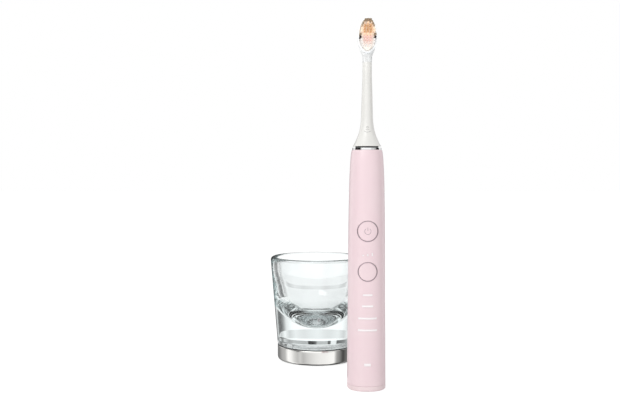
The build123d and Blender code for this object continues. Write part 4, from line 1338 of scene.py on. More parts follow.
# ---------------------------------------------------------------- brush head
@dataclass
class BrushHead:
    """Neck, oval head, clear surround and bristles, as one moulded part that clicks on."""

    # Height above the skirt's foot, half width, and reach forward and back.
    sections: tuple[tuple[float, float, float, float], ...] = (
        (0.0, 9.8, 9.8, 9.8), (1.6, 8.72, 8.75, 8.75), (4.3, 7.54, 7.6, 7.6), (7.1, 6.34, 6.45, 6.45),
        (9.8, 5.47, 5.6, 5.6), (12.5, 4.82, 5.0, 5.0), (15.3, 4.4, 4.65, 4.65), (18.0, 4.15, 4.45, 4.45),
        (26.2, 3.88, 4.1, 4.1), (37.1, 3.57, 3.55, 3.6), (50.0, 3.2, 2.8, 3.0), (56.0, 3.17, 2.35, 2.75),
        (61.4, 3.4, 1.95, 2.55), (63.8, 4.2, 1.85, 2.5), (65.9, 5.0, 1.8, 2.45), (68.0, 5.3, 1.75, 2.4),
    )
    head_foot: float = 63.7
    # Where the white neck meets the milky head, and the shallow scoop down its front above that.
    seam: float = 57.4
    scoop_depth: float = 0.55
    scoop_width: float = 1.5
    # Height over which the scoop comes and goes, and how far below the oval it ends.
    scoop_fade: float = 1.5
    scoop_end: float = 0.4
    head_length: float = 24.0
    # Height above the foot of the oval, half width.
    outline: tuple[Point, ...] = ((1.6, 3.3), (4.6, 5.6), (11.0, 6.65), (17.6, 5.75), (21.6, 3.75))
    outline_points: int = 128
    # Height above the foot of the oval where a change begins, and over how much it takes place: the
    # neck's own width runs out, and the neck's back and front turn into the head's.
    neck_ends: Point = (4.3, 3.0)
    back_turns: Point = (-3.0, 8.0)
    front_turns: Point = (-1.3, 1.2)
    back: float = 2.5
    # Length below the tip that is drawn in closer steps.
    fine_tip: float = 2.0
    # Height over which the back rounds off at the tip, and how squarely: one for a full arc.
    tip_reach: float = 1.1
    tip_roundness: float = 0.75
    split: float = 1.1
    front: float = 1.8
    surround_wall: float = 0.9
    surround_rise: float = 1.2
    plate_inset: float = 1.9
    # The plate stands proud of the bed that it is let into.
    plate_rise: float = 0.05
    # Depth from the axis of the backs of bed and plate, and of the well that the plate lies in.
    bed_back: float = 0.9
    plate_back: float = 0.65
    well: float = 1.0
    # Rounded lower edge of the skirt: radius, and height above its foot.
    skirt_edge: tuple[Point, ...] = ((9.62, 0.0), (9.73, 0.04), (9.7, 0.14))
    # Hollow of the skirt: its wall, its radius at the top, and the bore above it for the coupling.
    skirt_wall: float = 1.4
    cone_top: float = 4.6
    bore: float = 3.25
    bore_span: Point = (8.2, 21.25)
    segments: int = 96
    blend: float = 0.6
    axis: Point = field(default_factory=lambda: middle_of("shaft_seal"))
    foot: float = field(default_factory=lambda: levels_of("brush_neck")[0])

    def oval(self, inset: float, count: int) -> np.ndarray:
        """Closed outline of the head, with its points evenly spaced.

        Args:
            inset: how far it is drawn in.
            count: how many points it has.

        Returns:
            Places on X, and heights above its foot.
        """
        right = [(0.0, 0.0), *((half, height) for height, half in self.outline), (0.0, self.head_length)]
        left = [(-x, height) for x, height in reversed(right[1:-1])]
        dense = spline(np.array(right + left), 48, closed=True)
        travelled = np.concatenate(([0.0], np.cumsum(np.linalg.norm(np.diff(dense, axis=0), axis=1))))
        marks = np.arange(count) * travelled[-1] / count
        x, height = (np.interp(marks, travelled, dense[:, k]) for k in (0, 1))
        widest, middle = max(half for _, half in self.outline), self.head_length / 2
        return np.column_stack((x * (1 - inset / widest), middle + (height - middle) * (1 - inset / middle)))

    def half_width(self, height: float) -> float:
        """Half width of the head.

        Args:
            height: height above the foot of its oval.

        Returns:
            The half width, or nought above and below the oval.
        """
        points = self.oval(0.0, 512)
        right = points[points[:, 0] >= 0]
        order = np.argsort(right[:, 1])
        return float(np.interp(height, right[order, 1], right[order, 0], left=0.0, right=0.0))

    def head_ring(self, inset: float, y: float) -> Ring:
        """Ring of points on the head's outline.

        Args:
            inset: how far it is drawn in.
            y: its depth from the axis.

        Returns:
            Its points, in mm.
        """
        x, height = self.oval(inset, self.outline_points).T
        depth = np.full(self.outline_points, self.axis[1] + y)
        return np.column_stack((self.axis[0] + x, depth, self.foot + self.head_foot + height))

    def head_pole(self, y: float) -> Ring:
        """Middle of the head at a depth y, as a pole."""
        return np.array([(self.axis[0], self.axis[1] + y, self.foot + self.head_foot + self.head_length / 2)])

    def section(self, height: float) -> tuple[float, float, float]:
        """Size of the neck.

        Args:
            height: height above the skirt's foot.

        Returns:
            Its half width, and its reach forward and back.
        """
        heights, *columns = zip(*self.sections)
        wide, ahead, behind = (smooth_value(list(zip(heights, column)), height) for column in columns)
        return wide, ahead, behind

    def neck_front(self, x: float, z: float) -> float:
        """Depth of the front of the neck.

        Args:
            x: place beside the axis.
            z: height.

        Returns:
            The place on Y, in mm.
        """
        wide, ahead, _ = self.section(z - self.foot)
        return self.axis[1] - ahead * math.sqrt(max(1 - (x / wide) ** 2, 0.0))

    def neck_ring(self, height: float) -> Ring:
        """Section of neck and head.

        Args:
            height: height above the skirt's foot.

        Returns:
            Ring of its points, in mm.
        """
        wide, ahead, behind = self.section(height)
        above = height - self.head_foot
        oval = self.half_width(above) if 0 <= above <= self.head_length else 0.0
        changes = (self.neck_ends, self.back_turns, self.front_turns)
        ended, share, ahead_share = (smooth_step((above - start) / length) for start, length in changes)
        half = smooth_max(wide * (1 - ended), oval, self.blend)
        back = behind + (self.back - behind) * share
        front = ahead + (self.split - ahead) * ahead_share
        left = (self.head_length - above) / self.tip_reach
        if left < 1:
            back *= math.sqrt(max(1 - (1 - left) ** 2 * self.tip_roundness, 0.0))
        behind_axis = np.sin(around(self.segments)) > 0
        power = np.where(behind_axis, 2 + share, 2 + 6 * share)
        x, y = superellipse(half, np.where(behind_axis, back, front), power, self.segments)
        risen, under = height - self.seam, -(above + self.scoop_end)
        fade = smooth_step(risen / self.scoop_fade) * smooth_step(under / self.scoop_fade)
        scoop = self.scoop_depth * fade * np.exp(-((x / self.scoop_width) ** 2))
        y += np.where(np.sin(around(self.segments)) < 0, scoop, 0.0)
        z = np.full(self.segments, self.foot + height)
        return np.column_stack((self.axis[0] + x, self.axis[1] + y, z))

    def foot_ring(self, radius: float, up: float) -> Ring:
        """Circle of a radius about the neck's axis, up from the skirt's foot."""
        return circle(self.axis, radius, self.foot + up, self.segments)

    def build_neck(self) -> None:
        """Skirt and neck up to the seam, hollow at the foot, and above it the back of the head."""
        tip, (bore_foot, bore_top) = self.head_foot + self.head_length, self.bore_span
        inner = self.sections[0][1] - self.skirt_wall
        profile = [(0.0, bore_top), (self.bore, bore_top), (self.bore, bore_foot), (self.cone_top, bore_foot)]
        profile += [(inner, 0.25), (inner + 0.1, 0.05), (inner + 0.25, 0.0), *self.skirt_edge]
        rings = [self.foot_ring(radius, up) for radius, up in profile]
        rings += [self.neck_ring(height) for height in np.linspace(0.5, self.seam - 0.1, 56)]
        edge = self.neck_ring(self.seam)
        middle = edge.mean(axis=0)
        rings += [middle + (edge - middle) * 0.985, self.foot_ring(0.0, self.seam)]
        add_piece("brush_stem", skin(rings), Body.HEAD, WHITE_NECK, ("brush_neck",), crease=40)
        heights = list(np.linspace(self.seam + 0.14, tip - self.fine_tip, 92))
        heights += [tip - self.fine_tip * math.cos(t) for t in np.linspace(0.1, math.pi / 2 - 0.06, 14)]
        lower = middle + (edge - middle) * 0.97 + (0.0, 0.0, 0.04)
        rings = [self.foot_ring(0.0, self.seam + 0.04), lower]
        rings += [self.neck_ring(height) for height in heights]
        rings.append(self.foot_ring(0.0, tip) + (0.0, 0.4, 0.0))
        add_piece("milky_head", skin(rings), Body.HEAD, MILKY_NECK, ("brush_neck",), crease=40)

    def build_sign(self, low: float = 12.9, stroke: float = 0.3) -> None:
        """Plain contactless sign printed low on the neck: a small ring over two arcs.

        Args:
            low: height of the ring's middle above the skirt's foot.
            stroke: width of the lines.
        """
        centre = (0.0, self.foot + low)
        lines = [arc(centre, *one, 24) for one in ((0.62, 90, 450), (1.75, 228, 312), (3.3, 228, 312))]
        form = merged([printed(line, stroke, self.axis[0], self.neck_front) for line in lines])
        add_piece("contactless_sign", form, Body.HEAD, NECK_INK)

    def build_face(self) -> None:
        """Raised bed of the head inside the surround, with the plate that holds the tufts."""
        wall, face, plate = self.surround_wall + 0.05, -self.front, -self.front - self.plate_rise
        back, well = -self.bed_back, -self.well
        profile = [(wall + 2, back), (wall, back), (wall, face + 0.1), (wall + 0.03, face + 0.03)]
        profile += [(wall + 0.1, face), (self.plate_inset, face), (self.plate_inset, well)]
        rings = [self.head_pole(back), *(self.head_ring(*place) for place in profile), self.head_pole(well)]
        add_piece("head_bed", skin(rings), Body.HEAD, WHITE_NECK)
        inset, back = self.plate_inset + 0.05, -self.plate_back
        profile = [(inset, back), (inset, plate + 0.1), (inset + 0.1, plate)]
        rings = [self.head_pole(back), *(self.head_ring(*place) for place in profile), self.head_pole(plate)]
        add_piece("tuft_bed", skin(rings), Body.HEAD, WHITE_PLATE, ("tuft_plate",))

    def build_surround(self) -> None:
        """Soft clear wall round the roots of the bristles, with a rounded lip."""
        wall, half = self.surround_wall, self.surround_wall / 2
        low, shoulder = 0.05 - self.split, half - self.front - self.surround_rise
        turns = np.linspace(0.0, math.pi, 9)
        lip = [(half - half * math.cos(t), shoulder - half * math.sin(t)) for t in turns]
        form = skin([self.head_ring(*place) for place in ((0.0, low), *lip, (wall, low))], closed=True)
        add_piece("soft_surround", form, Body.HEAD, SOFT_CLEAR, ("head_surround",))

    def build(self) -> None:
        """Build the moulded parts of the brush head."""
        self.build_neck()
        self.build_sign()
        self.build_face()
        self.build_surround()


# ---------------------------------------------------------------- bristles
class Tuft(Enum):
    """Fields of tufts: each one's node, its record slot, its colour and its roots' colour."""

    OUTER = ("outer_tufts", "bristle_cream", "#FEEBD6", "#FAE2C8")
    LOWER = ("outer_tufts", "bristle_cream", "#EFEBE8", "#E9E3DE")
    EDGE = ("outer_tufts", "bristle_cream", "#A5927A", "#98856C")
    CENTRE = ("centre_tufts", "bristle_tan", "#DFBA90", "#D2A97E")
    INNER = ("centre_tufts", "bristle_cream", "#FCE5CC", "#F6DABB")
    POLISH = ("polish_tufts", "bristle_pink", "#F1D6CF", "#E7C7BF")
    PALE = ("polish_tufts", "bristle_cream", "#F1E2DC", "#E9D6CE")
    SIDE = ("side_tufts", "bristle_dark", "#2B262C", "#1E1A20")


# Place beside the head's middle, height above its foot, and length of a tuft.
Root = tuple[float, float, float]


@dataclass(frozen=True)
class Bundle:
    """What one kind of tuft is made of: how many filaments, and its radius."""

    filaments: int
    radius: float


@dataclass
class BristleField:
    """Rows of tufts, each a bundle of end-rounded filaments."""

    head: BrushHead
    bundle: Bundle = Bundle(44, 0.74)
    pitch: float = 1.85
    row_pitch: float = 1.9
    edge: float = 2.05
    first_row: float = 4.3
    length: float = 8.5
    outer_length: float = 9.2
    side_length: float = 7.4
    # Heights above the head's foot where one field ends and the next begins.
    colour_split: float = 11.4
    side_height: float = 10.0
    pale_below: float = 9.0
    white_below: float = 7.0
    edge_above: float = 20.5
    tan_span: Point = (13.0, 18.5)
    tan_half_width: float = 2.4
    side_shift: float = 0.55
    # Fine filaments that stand close together along an arc at the top of the head.
    arc_bundle: Bundle = Bundle(12, 0.38)
    arc_middle: float = 14.0
    arc_size: Point = (4.35, 7.6)
    arc_ends: Point = (24.0, 156.0)
    arc_tufts: int = 34
    arc_length: float = 9.6
    filament_radius: float = 0.1
    # Most that a filament leans, in degrees, and the shortest it is cut, as a share of its length.
    lean: float = 3.0
    shortest: float = 0.985
    # Length over which its colour changes from root to tip.
    fade: float = 6.0
    # Where a tuft is too dense to see into: share of its radius and of its length.
    core_width: float = 1.05
    core_length: float = 0.95
    seed: int = 7

    def roots(self) -> dict[Tuft, list[Root]]:
        """Root of each tuft in the rows, by field."""
        found: dict[Tuft, list[Root]] = {kind: [] for kind in Tuft}
        height = self.first_row
        while height < self.head.head_length - self.edge - self.bundle.radius / 2:
            room = self.straight_half_width(height) - self.edge
            count = 1 + int(2 * max(room, 0) / self.pitch)
            for index in range(count):
                x = 0.0 if count == 1 else room * (2 * index / (count - 1) - 1)
                outermost = index in (0, count - 1)
                kind = self.kind(x, height, outermost)
                if kind in (Tuft.SIDE, Tuft.EDGE) and height < self.edge_above:
                    found[kind].append((x + math.copysign(self.side_shift, x), height, self.side_length))
                else:
                    long = outermost or height == self.first_row
                    found[kind].append((x, height, self.outer_length if long else self.length))
            height += self.row_pitch
        return found

    def kind(self, x: float, height: float, outermost: bool) -> Tuft:
        """Which field a tuft belongs to.

        Args:
            x: its place beside the head's middle.
            height: its height above the head's foot.
            outermost: whether it is the first or last of its row.

        Returns:
            The field.
        """
        if outermost or height == self.first_row:
            above = height - self.side_height
            if outermost and abs(above) < self.row_pitch / 2:
                return Tuft.SIDE
            if outermost and (abs(above - self.row_pitch) < self.row_pitch / 2 or height > self.edge_above):
                return Tuft.EDGE
            return Tuft.LOWER if height < self.pale_below else Tuft.OUTER
        if height > self.colour_split:
            low, high = self.tan_span
            return Tuft.CENTRE if abs(x) < self.tan_half_width and low < height < high else Tuft.INNER
        return Tuft.PALE if height < self.white_below else Tuft.POLISH

    def straight_half_width(self, height: float) -> float:
        """Half width of the head at a height, by straight lines between its outline's points."""
        stations = [(0.0, 0.0), *self.head.outline, (self.head.head_length, 0.0)]
        return float(np.interp(height, *zip(*stations)))

    def tree(self) -> Tree:
        """Node tree that turns each root into a bundle of filaments."""
        tree = bpy.data.node_groups.new("filament_bundles", "GeometryNodeTree")
        wanted = {
            "Roots": "Geometry",
            "Filaments": "Int",
            "Tuft radius": "Float",
            "Filament radius": "Float",
            "Lean": "Float",
            "Seed": "Int",
            "Finish": "Material",
        }
        for name, kind in wanted.items():
            tree.interface.new_socket(name, in_out="INPUT", socket_type=f"NodeSocket{kind}")
        tree.interface.new_socket("Bristles", in_out="OUTPUT", socket_type="NodeSocketGeometry")
        given = add_node(tree, "NodeGroupInput").outputs
        dots = add_node(tree, "GeometryNodeMeshToPoints", {"Mesh": given["Roots"]}).outputs["Points"]
        length = add_node(tree, "GeometryNodeInputNamedAttribute", {"Name": "tuft_length"}, data_type="FLOAT")
        long = length.outputs["Attribute"]
        both = add_node(tree, "GeometryNodeJoinGeometry")
        for part in (self.planted(tree, given, dots, long), self.cores(tree, given, dots, long)):
            tree.links.new(part, both.inputs["Geometry"])
        real = add_node(tree, "GeometryNodeRealizeInstances", {"Geometry": both.outputs["Geometry"]})
        smooth = add_node(tree, "GeometryNodeSetShadeSmooth", {"Geometry": real.outputs["Geometry"]})
        links = {"Geometry": smooth.outputs["Geometry"], "Material": given["Finish"]}
        dressed = add_node(tree, "GeometryNodeSetMaterial", links)
        add_node(tree, "NodeGroupOutput", {"Bristles": dressed.outputs["Geometry"]})
        return tree

    def planted(self, tree: Tree, given: Any, dots: Socket, long: Socket) -> Socket:
        """Filaments that stand in each tuft, each with its own lean and length.

        Args:
            tree: node tree that gets the nodes.
            given: the tree's inputs.
            dots: a point at each root.
            long: length of the tuft there.

        Returns:
            The filaments, as instances.
        """
        links = {"Geometry": dots, "Amount": given["Filaments"]}
        copies = add_node(tree, "GeometryNodeDuplicateElements", links, domain="POINT").outputs
        half = {0: copies["Duplicate Index"], 1: 0.5}
        number = add_node(tree, "ShaderNodeMath", half, operation="ADD").outputs[0]
        shared = {0: number, 1: given["Filaments"]}
        share = add_node(tree, "ShaderNodeMath", shared, operation="DIVIDE").outputs[0]
        root = add_node(tree, "ShaderNodeMath", {0: share}, operation="SQRT").outputs[0]
        rooted = {0: root, 1: given["Tuft radius"]}
        reach = add_node(tree, "ShaderNodeMath", rooted, operation="MULTIPLY").outputs[0]
        # The golden angle lays the filaments out like the seeds of a sunflower.
        golden = {0: number, 1: math.pi * (3 - math.sqrt(5))}
        angle = add_node(tree, "ShaderNodeMath", golden, operation="MULTIPLY").outputs[0]
        sides = []
        for wave in ("COSINE", "SINE"):
            part = {0: add_node(tree, "ShaderNodeMath", {0: angle}, operation=wave).outputs[0], 1: reach}
            sides.append(add_node(tree, "ShaderNodeMath", part, operation="MULTIPLY").outputs[0])
        shift = add_node(tree, "ShaderNodeCombineXYZ", {"X": sides[0], "Z": sides[1]}).outputs["Vector"]
        placed = add_node(tree, "GeometryNodeSetPosition", {"Geometry": copies["Geometry"], "Offset": shift})
        less = add_node(tree, "ShaderNodeMath", {0: given["Lean"], 1: -1.0}, operation="MULTIPLY").outputs[0]
        tilts = []
        for offset in (0.0, 1.0):
            seed = add_node(tree, "ShaderNodeMath", {0: given["Seed"], 1: offset}, operation="ADD").outputs[0]
            links = {2: less, 3: given["Lean"], "Seed": seed}
            tilts.append(add_node(tree, "FunctionNodeRandomValue", links, data_type="FLOAT").outputs[1])
        upright = add_node(tree, "ShaderNodeMath", {0: tilts[0], 1: math.pi / 2}, operation="ADD").outputs[0]
        turn = add_node(tree, "ShaderNodeCombineXYZ", {"X": upright, "Z": tilts[1]}).outputs["Vector"]
        links = {2: self.shortest, 3: 1.0, "Seed": given["Seed"]}
        trim = add_node(tree, "FunctionNodeRandomValue", links, data_type="FLOAT").outputs[1]
        cut = add_node(tree, "ShaderNodeMath", {0: long, 1: trim}, operation="MULTIPLY").outputs[0]
        size = add_node(tree, "ShaderNodeCombineXYZ", {"X": 1.0, "Y": 1.0, "Z": cut}).outputs["Vector"]
        filament = self.filament(tree, given["Filament radius"])
        links = {"Points": placed.outputs["Geometry"], "Instance": filament, "Rotation": turn, "Scale": size}
        return add_node(tree, "GeometryNodeInstanceOnPoints", links).outputs["Instances"]

    def cores(self, tree: Tree, given: Any, dots: Socket, long: Socket) -> Socket:
        """Solid middle of each tuft, which closes the gaps that no eye sees into.

        Args:
            tree: node tree that gets the nodes.
            given: the tree's inputs.
            dots: a point at each root.
            long: length of the tuft there.

        Returns:
            The middles, as instances.
        """
        wider = {0: given["Tuft radius"], 1: self.core_width}
        wide = add_node(tree, "ShaderNodeMath", wider, operation="MULTIPLY").outputs[0]
        round_bar = {"Vertices": 10, "Radius": wide, "Depth": self.core_length}
        core = add_node(tree, "GeometryNodeMeshCylinder", round_bar).outputs["Mesh"]
        links = {"Geometry": core, "Translation": (0, 0, self.core_length / 2)}
        raised = add_node(tree, "GeometryNodeTransform", links).outputs["Geometry"]
        size = add_node(tree, "ShaderNodeCombineXYZ", {"X": 1.0, "Y": 1.0, "Z": long}).outputs["Vector"]
        links = {"Points": dots, "Instance": raised, "Rotation": (math.pi / 2, 0.0, 0.0), "Scale": size}
        return add_node(tree, "GeometryNodeInstanceOnPoints", links).outputs["Instances"]

    def filament(self, tree: Tree, radius: Socket) -> Socket:
        """One filament a metre long, scaled to length where it is planted, with a rounded tip.

        Args:
            tree: node tree that gets the nodes.
            radius: radius of the filament.

        Returns:
            Its mesh.
        """
        bar = {"Vertices": 5, "Radius": radius, "Depth": 1.0}
        made = add_node(tree, "GeometryNodeMeshCylinder", bar, fill_type="NGON").outputs
        links = {"Geometry": made["Mesh"], "Translation": (0, 0, 0.485)}
        mesh, top = add_node(tree, "GeometryNodeTransform", links).outputs["Geometry"], made["Top"]
        for rise, size in ((0.008, 0.82), (0.006, 0.55)):
            links = {"Mesh": mesh, "Selection": top, "Offset Scale": rise}
            grown = add_node(tree, "GeometryNodeExtrudeMesh", links, mode="FACES").outputs
            links = {"Geometry": grown["Mesh"], "Selection": grown["Top"], "Scale": size}
            mesh = add_node(tree, "GeometryNodeScaleElements", links, domain="FACE").outputs["Geometry"]
            top = grown["Top"]
        return mesh

    def build(self) -> None:
        """Plant every field of bristles."""
        tree = self.tree()
        for order, (kind, roots) in enumerate(self.roots().items()):
            self.plant(f"{kind.name.lower()}_bristles", kind, roots, self.bundle, tree, order)
        turns = [math.radians(t) for t in np.linspace(*self.arc_ends, self.arc_tufts)]
        across, along = self.arc_size
        middle, length = self.arc_middle, self.arc_length
        roots = [(across * math.cos(t), middle + along * math.sin(t), length) for t in turns]
        self.plant("arc_bristles", Tuft.EDGE, roots, self.arc_bundle, tree, len(Tuft))

    def plant(self, name: str, kind: Tuft, roots: list[Root], bundle: Bundle, tree: Tree, order: int) -> None:
        """Plant one field of bristles and keep the result as a plain mesh.

        Args:
            name: name of the new piece.
            kind: which field it belongs to.
            roots: root of each of its tufts.
            bundle: what each tuft is made of.
            tree: node tree that makes the bundles.
            order: number of the field, which sets its random draws.
        """
        node, slot, colour, root_colour = kind.value
        base = self.head.foot + self.head.head_foot
        root_y = self.head.axis[1] - self.head.front - self.head.plate_rise
        places = np.array([(self.head.axis[0] + x, root_y, base + up) for x, up, _ in roots])
        piece = add_object(name, (places, []))
        lengths = piece.data.attributes.new("tuft_length", "FLOAT", "POINT")
        lengths.data.foreach_set("value", [length * MM for _, _, length in roots])
        label = f"polyester_filament_{kind.name.lower()}"
        tip_y = root_y - self.fade
        finish = Filament(label, colour, 0.35, root=root_colour, root_depth=root_y, tip_depth=tip_y)
        values = {
            "Filaments": bundle.filaments,
            "Tuft radius": (bundle.radius - self.filament_radius) * MM,
            "Filament radius": self.filament_radius * MM,
            "Lean": math.radians(self.lean),
            "Seed": self.seed + order,
            "Finish": finish.build(),
        }
        grow = piece.modifiers.new("bristles", "NODES")
        grow.node_group = tree
        for socket in tree.interface.items_tree:
            if socket.name in values:
                grow[socket.identifier] = values[socket.name]
        keep_result(piece)
        settle(piece, Body.HEAD, (node,))


# ---------------------------------------------------------------- charging base
@dataclass
class ChargingBase:
    """Round charging base: polished metal band, rubber seat and rubber foot."""

    radius: float = 31.0
    height: float = 12.0
    lift: float = 0.5
    corner: float = 2.3
    wall: float = 0.8
    lip_radius: float = 27.9
    seat: Point = (27.0, 30.6)
    pad_radius: float = 26.0
    # Radius of the shallow step under the pad, and its height.
    pad_step: Point = (20.4, 0.15)
    segments: int = 256
    axis: Point = field(default_factory=lambda: middle_of("base_shell"))

    def build_band(self) -> None:
        """Drawn metal band with its rolled lower edge."""
        inner, lip, low = self.radius - self.wall, self.lip_radius, self.lift + self.wall
        corners = [(self.radius, self.lift, self.corner), (self.radius, self.height, 0.3)]
        corners += [(inner, self.height, 0.1), (inner, low, 1.5), (lip, low, 0.1), (lip, self.lift, 0.1)]
        form = turned(rounded(corners, 10), self.axis, self.segments)
        add_piece("metal_band", form, Body.BASE, BASE_STEEL, ("base_shell",))

    def build_seat(self) -> None:
        """Rubber seat ring that the glass stands on; its dark colour is partly painted shade, the shadow line
        between glass and band.
        """
        low, high = levels_of("glass_seat_ring")
        inner, outer = self.seat
        corners = [(inner, low, 0.05), (outer, low, 0.05), (outer, high, 0.15), (inner, high, 0.15)]
        form = turned(rounded(corners, 4), self.axis, self.segments)
        # Dark rubber here is partly painted shade: the shadow in the seam under the glass.
        add_piece("seat_gasket", form, Body.BASE, DARK_RUBBER_AND_GAP_SHADE, ("glass_seat_ring",))

    def build_foot(self) -> None:
        """Rubber pad with a rounded rim and a shallow step."""
        low, high = levels_of("base_foot")
        rim, (step, rise) = self.pad_radius, self.pad_step
        outline = [(0.0, low + rise), (step - 0.4, low + rise), (step, low + 0.1), (step + 0.4, low)]
        outline += [(rim - 0.4, low), (rim - 0.15, low + 0.06), (rim, low + 0.25), (rim, high), (0.0, high)]
        form = turned(outline, self.axis, 128, closed=False)
        add_piece("rubber_pad", form, Body.BASE, DARK_RUBBER_AND_GAP_SHADE, ("base_foot",))

    def build(self) -> None:
        """Build what shows of the base."""
        self.build_band()
        self.build_seat()
        self.build_foot()


# ---------------------------------------------------------------- glass
@dataclass
class Tumbler:
    """Heavy tumbler with a tapered outside, a round bowl and a shallow recess underneath."""

    foot_radius: float = 31.0
    rim_radius: float = 36.6
    rim_wall: float = 4.9
    foot_edge: float = 1.3
    base_thickness: float = 14.4
    recess_radius: float = 27.0
    recess_depth: float = 3.6
    # Bowl: height above its lowest point, and thickness of the glass there, out to the outer wall.
    walls: tuple[Point, ...] = (
        (1.1, 25.6), (3.4, 21.2), (6.3, 17.9), (9.6, 15.1), (12.8, 12.8), (16.2, 10.8),
        (19.8, 9.2), (29.7, 7.0), (38.1, 5.8), (45.9, 5.1),
    )
    segments: int = 256
    bowl_steps: int = 16

    def bowl(self, low: float, slope: float, top: float) -> Outline:
        """Inside of the bowl from its lowest point to the rim.

        Args:
            low: height of the glass's foot.
            slope: how much the outside widens with each millimetre of height.
            top: height where the wall ends and the rim begins.

        Returns:
            Radius and height of each point.
        """
        bottom = low + self.base_thickness
        levels = [(bottom + up, wall) for up, wall in self.walls]
        knots = [(self.foot_radius + slope * (z - low) - wall, z) for z, wall in levels]
        knots = [(0.0, bottom), *knots, (self.rim_radius - self.rim_wall, top)]
        # Mirrored about its axis, the curve is level at its lowest point.
        mirrored = [(-radius, height) for radius, height in reversed(knots[1:])]
        points = spline(np.array(mirrored + knots), self.bowl_steps, closed=False)
        kept = points[len(mirrored) * self.bowl_steps + 1 :]
        return [(0.0, bottom), *((max(float(x), 0.0), float(z)) for x, z in kept)]

    def build(self) -> None:
        """Build the glass as one turned surface."""
        low, high = levels_of("charging_glass")
        slope = (self.rim_radius - self.foot_radius) / (high - low)
        recess = low + self.recess_depth
        corners = [(self.recess_radius, recess, 0.6), (self.recess_radius, low, 0.4)]
        corners += [(self.foot_radius, low, self.foot_edge), (self.rim_radius, high, 0.0)]
        corners += [(0.0, high, 0.0), (0.0, recess, 0.0)]
        outline = [(0.0, recess), *rounded(corners, 8)[:-3]]
        bend = self.rim_wall / 2
        wall_top = high - bend
        levels = np.linspace(outline[-1][1], wall_top, 12)[1:]
        outline += [(self.rim_radius - slope * (high - z), z) for z in levels]
        outer, inner = outline[-1][0], self.rim_radius - self.rim_wall
        middle, half = (outer + inner) / 2, (outer - inner) / 2
        turns = np.linspace(0, math.pi, 15)[1:-1]
        outline += [(middle + half * math.cos(t), wall_top + bend * math.sin(t)) for t in turns]
        outline += reversed(self.bowl(low, slope, wall_top))
        form = turned(outline, middle_of("charging_glass"), self.segments, closed=False)
        add_piece("tumbler", form, Body.GLASS, CLEAR_GLASS, ("charging_glass",), crease=50)


# ---------------------------------------------------------------- inner works
@dataclass(frozen=True)
class InnerWorks:
    """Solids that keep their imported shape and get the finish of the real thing."""

    finishes: tuple[tuple[Finish, tuple[str, ...]], ...] = (
        (GREEN_BOARD, ("main_board", "base_board")),
        (CHIP_EPOXY, ("board_components", "base_board_parts")),
        (BLACK_ABS, ("light_boxes", "tact_switches", "power_switch_stem", "mode_switch_stem")),
        (BLACK_ABS, ("coil_bobbin", "id_tag")),
        (FRAME_NYLON, ("inner_frame", "spring_anchor", "coupling_insert")),
        (LED_RESIN, ("indicator_leds",)),
        (PLATED_STEEL, ("board_screws", "base_screws", "motor_can", "rotor_yoke", "motor_end_plates")),
        (SHAFT_STEEL, ("torsion_bar", "grip_spring")),
        (NICKEL, ("battery_tabs",)),
        (MAGNET, ("rotor_magnets",)),
        (BRONZE, ("shaft_bushes",)),
        (COPPER_TURNS, ("charging_coil", "stator_coils", "primary_coil")),
        (SHEET_STACK, ("stator_core",)),
        (FERRITE, ("coil_core", "ferrite_plate")),
        (CELL_WRAP, ("battery_cell",)),
        (GREY_RUBBER, ("cap_seal", "cord_gland")),
        (PLATED_ABS, ("base_top_plate",)),
        (BASE_ABS, ("base_bottom_cover",)),
    )

    def build(self) -> None:
        """Give each solid its finish."""
        for finish, nodes in self.finishes:
            for node in nodes:
                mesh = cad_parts[node].data
                mesh.materials.clear()
                mesh.materials.append(finish.build())
                log.info("%s in %s", node, finish.name)


# ---------------------------------------------------------------- studio
# Bearing from straight in front, counted to the right, and the sRGB grey there, out of 255.
Tones = tuple[Point, ...]


def grey_level(grey: float) -> float:
    """Linear level of an sRGB grey, out of 255."""
    return linear("#" + f"{round(grey):02X}" * 3)[0]


def mirrored(tones: Tones) -> Tones:
    """The same tones on the other side."""
    return tuple((-bearing, grey) for bearing, grey in reversed(tones))


def both_sides(tones: Tones) -> Tones:
    """Tones from straight in front to straight behind, on either side alike."""
    return (*mirrored(tones[1:]), *tones)


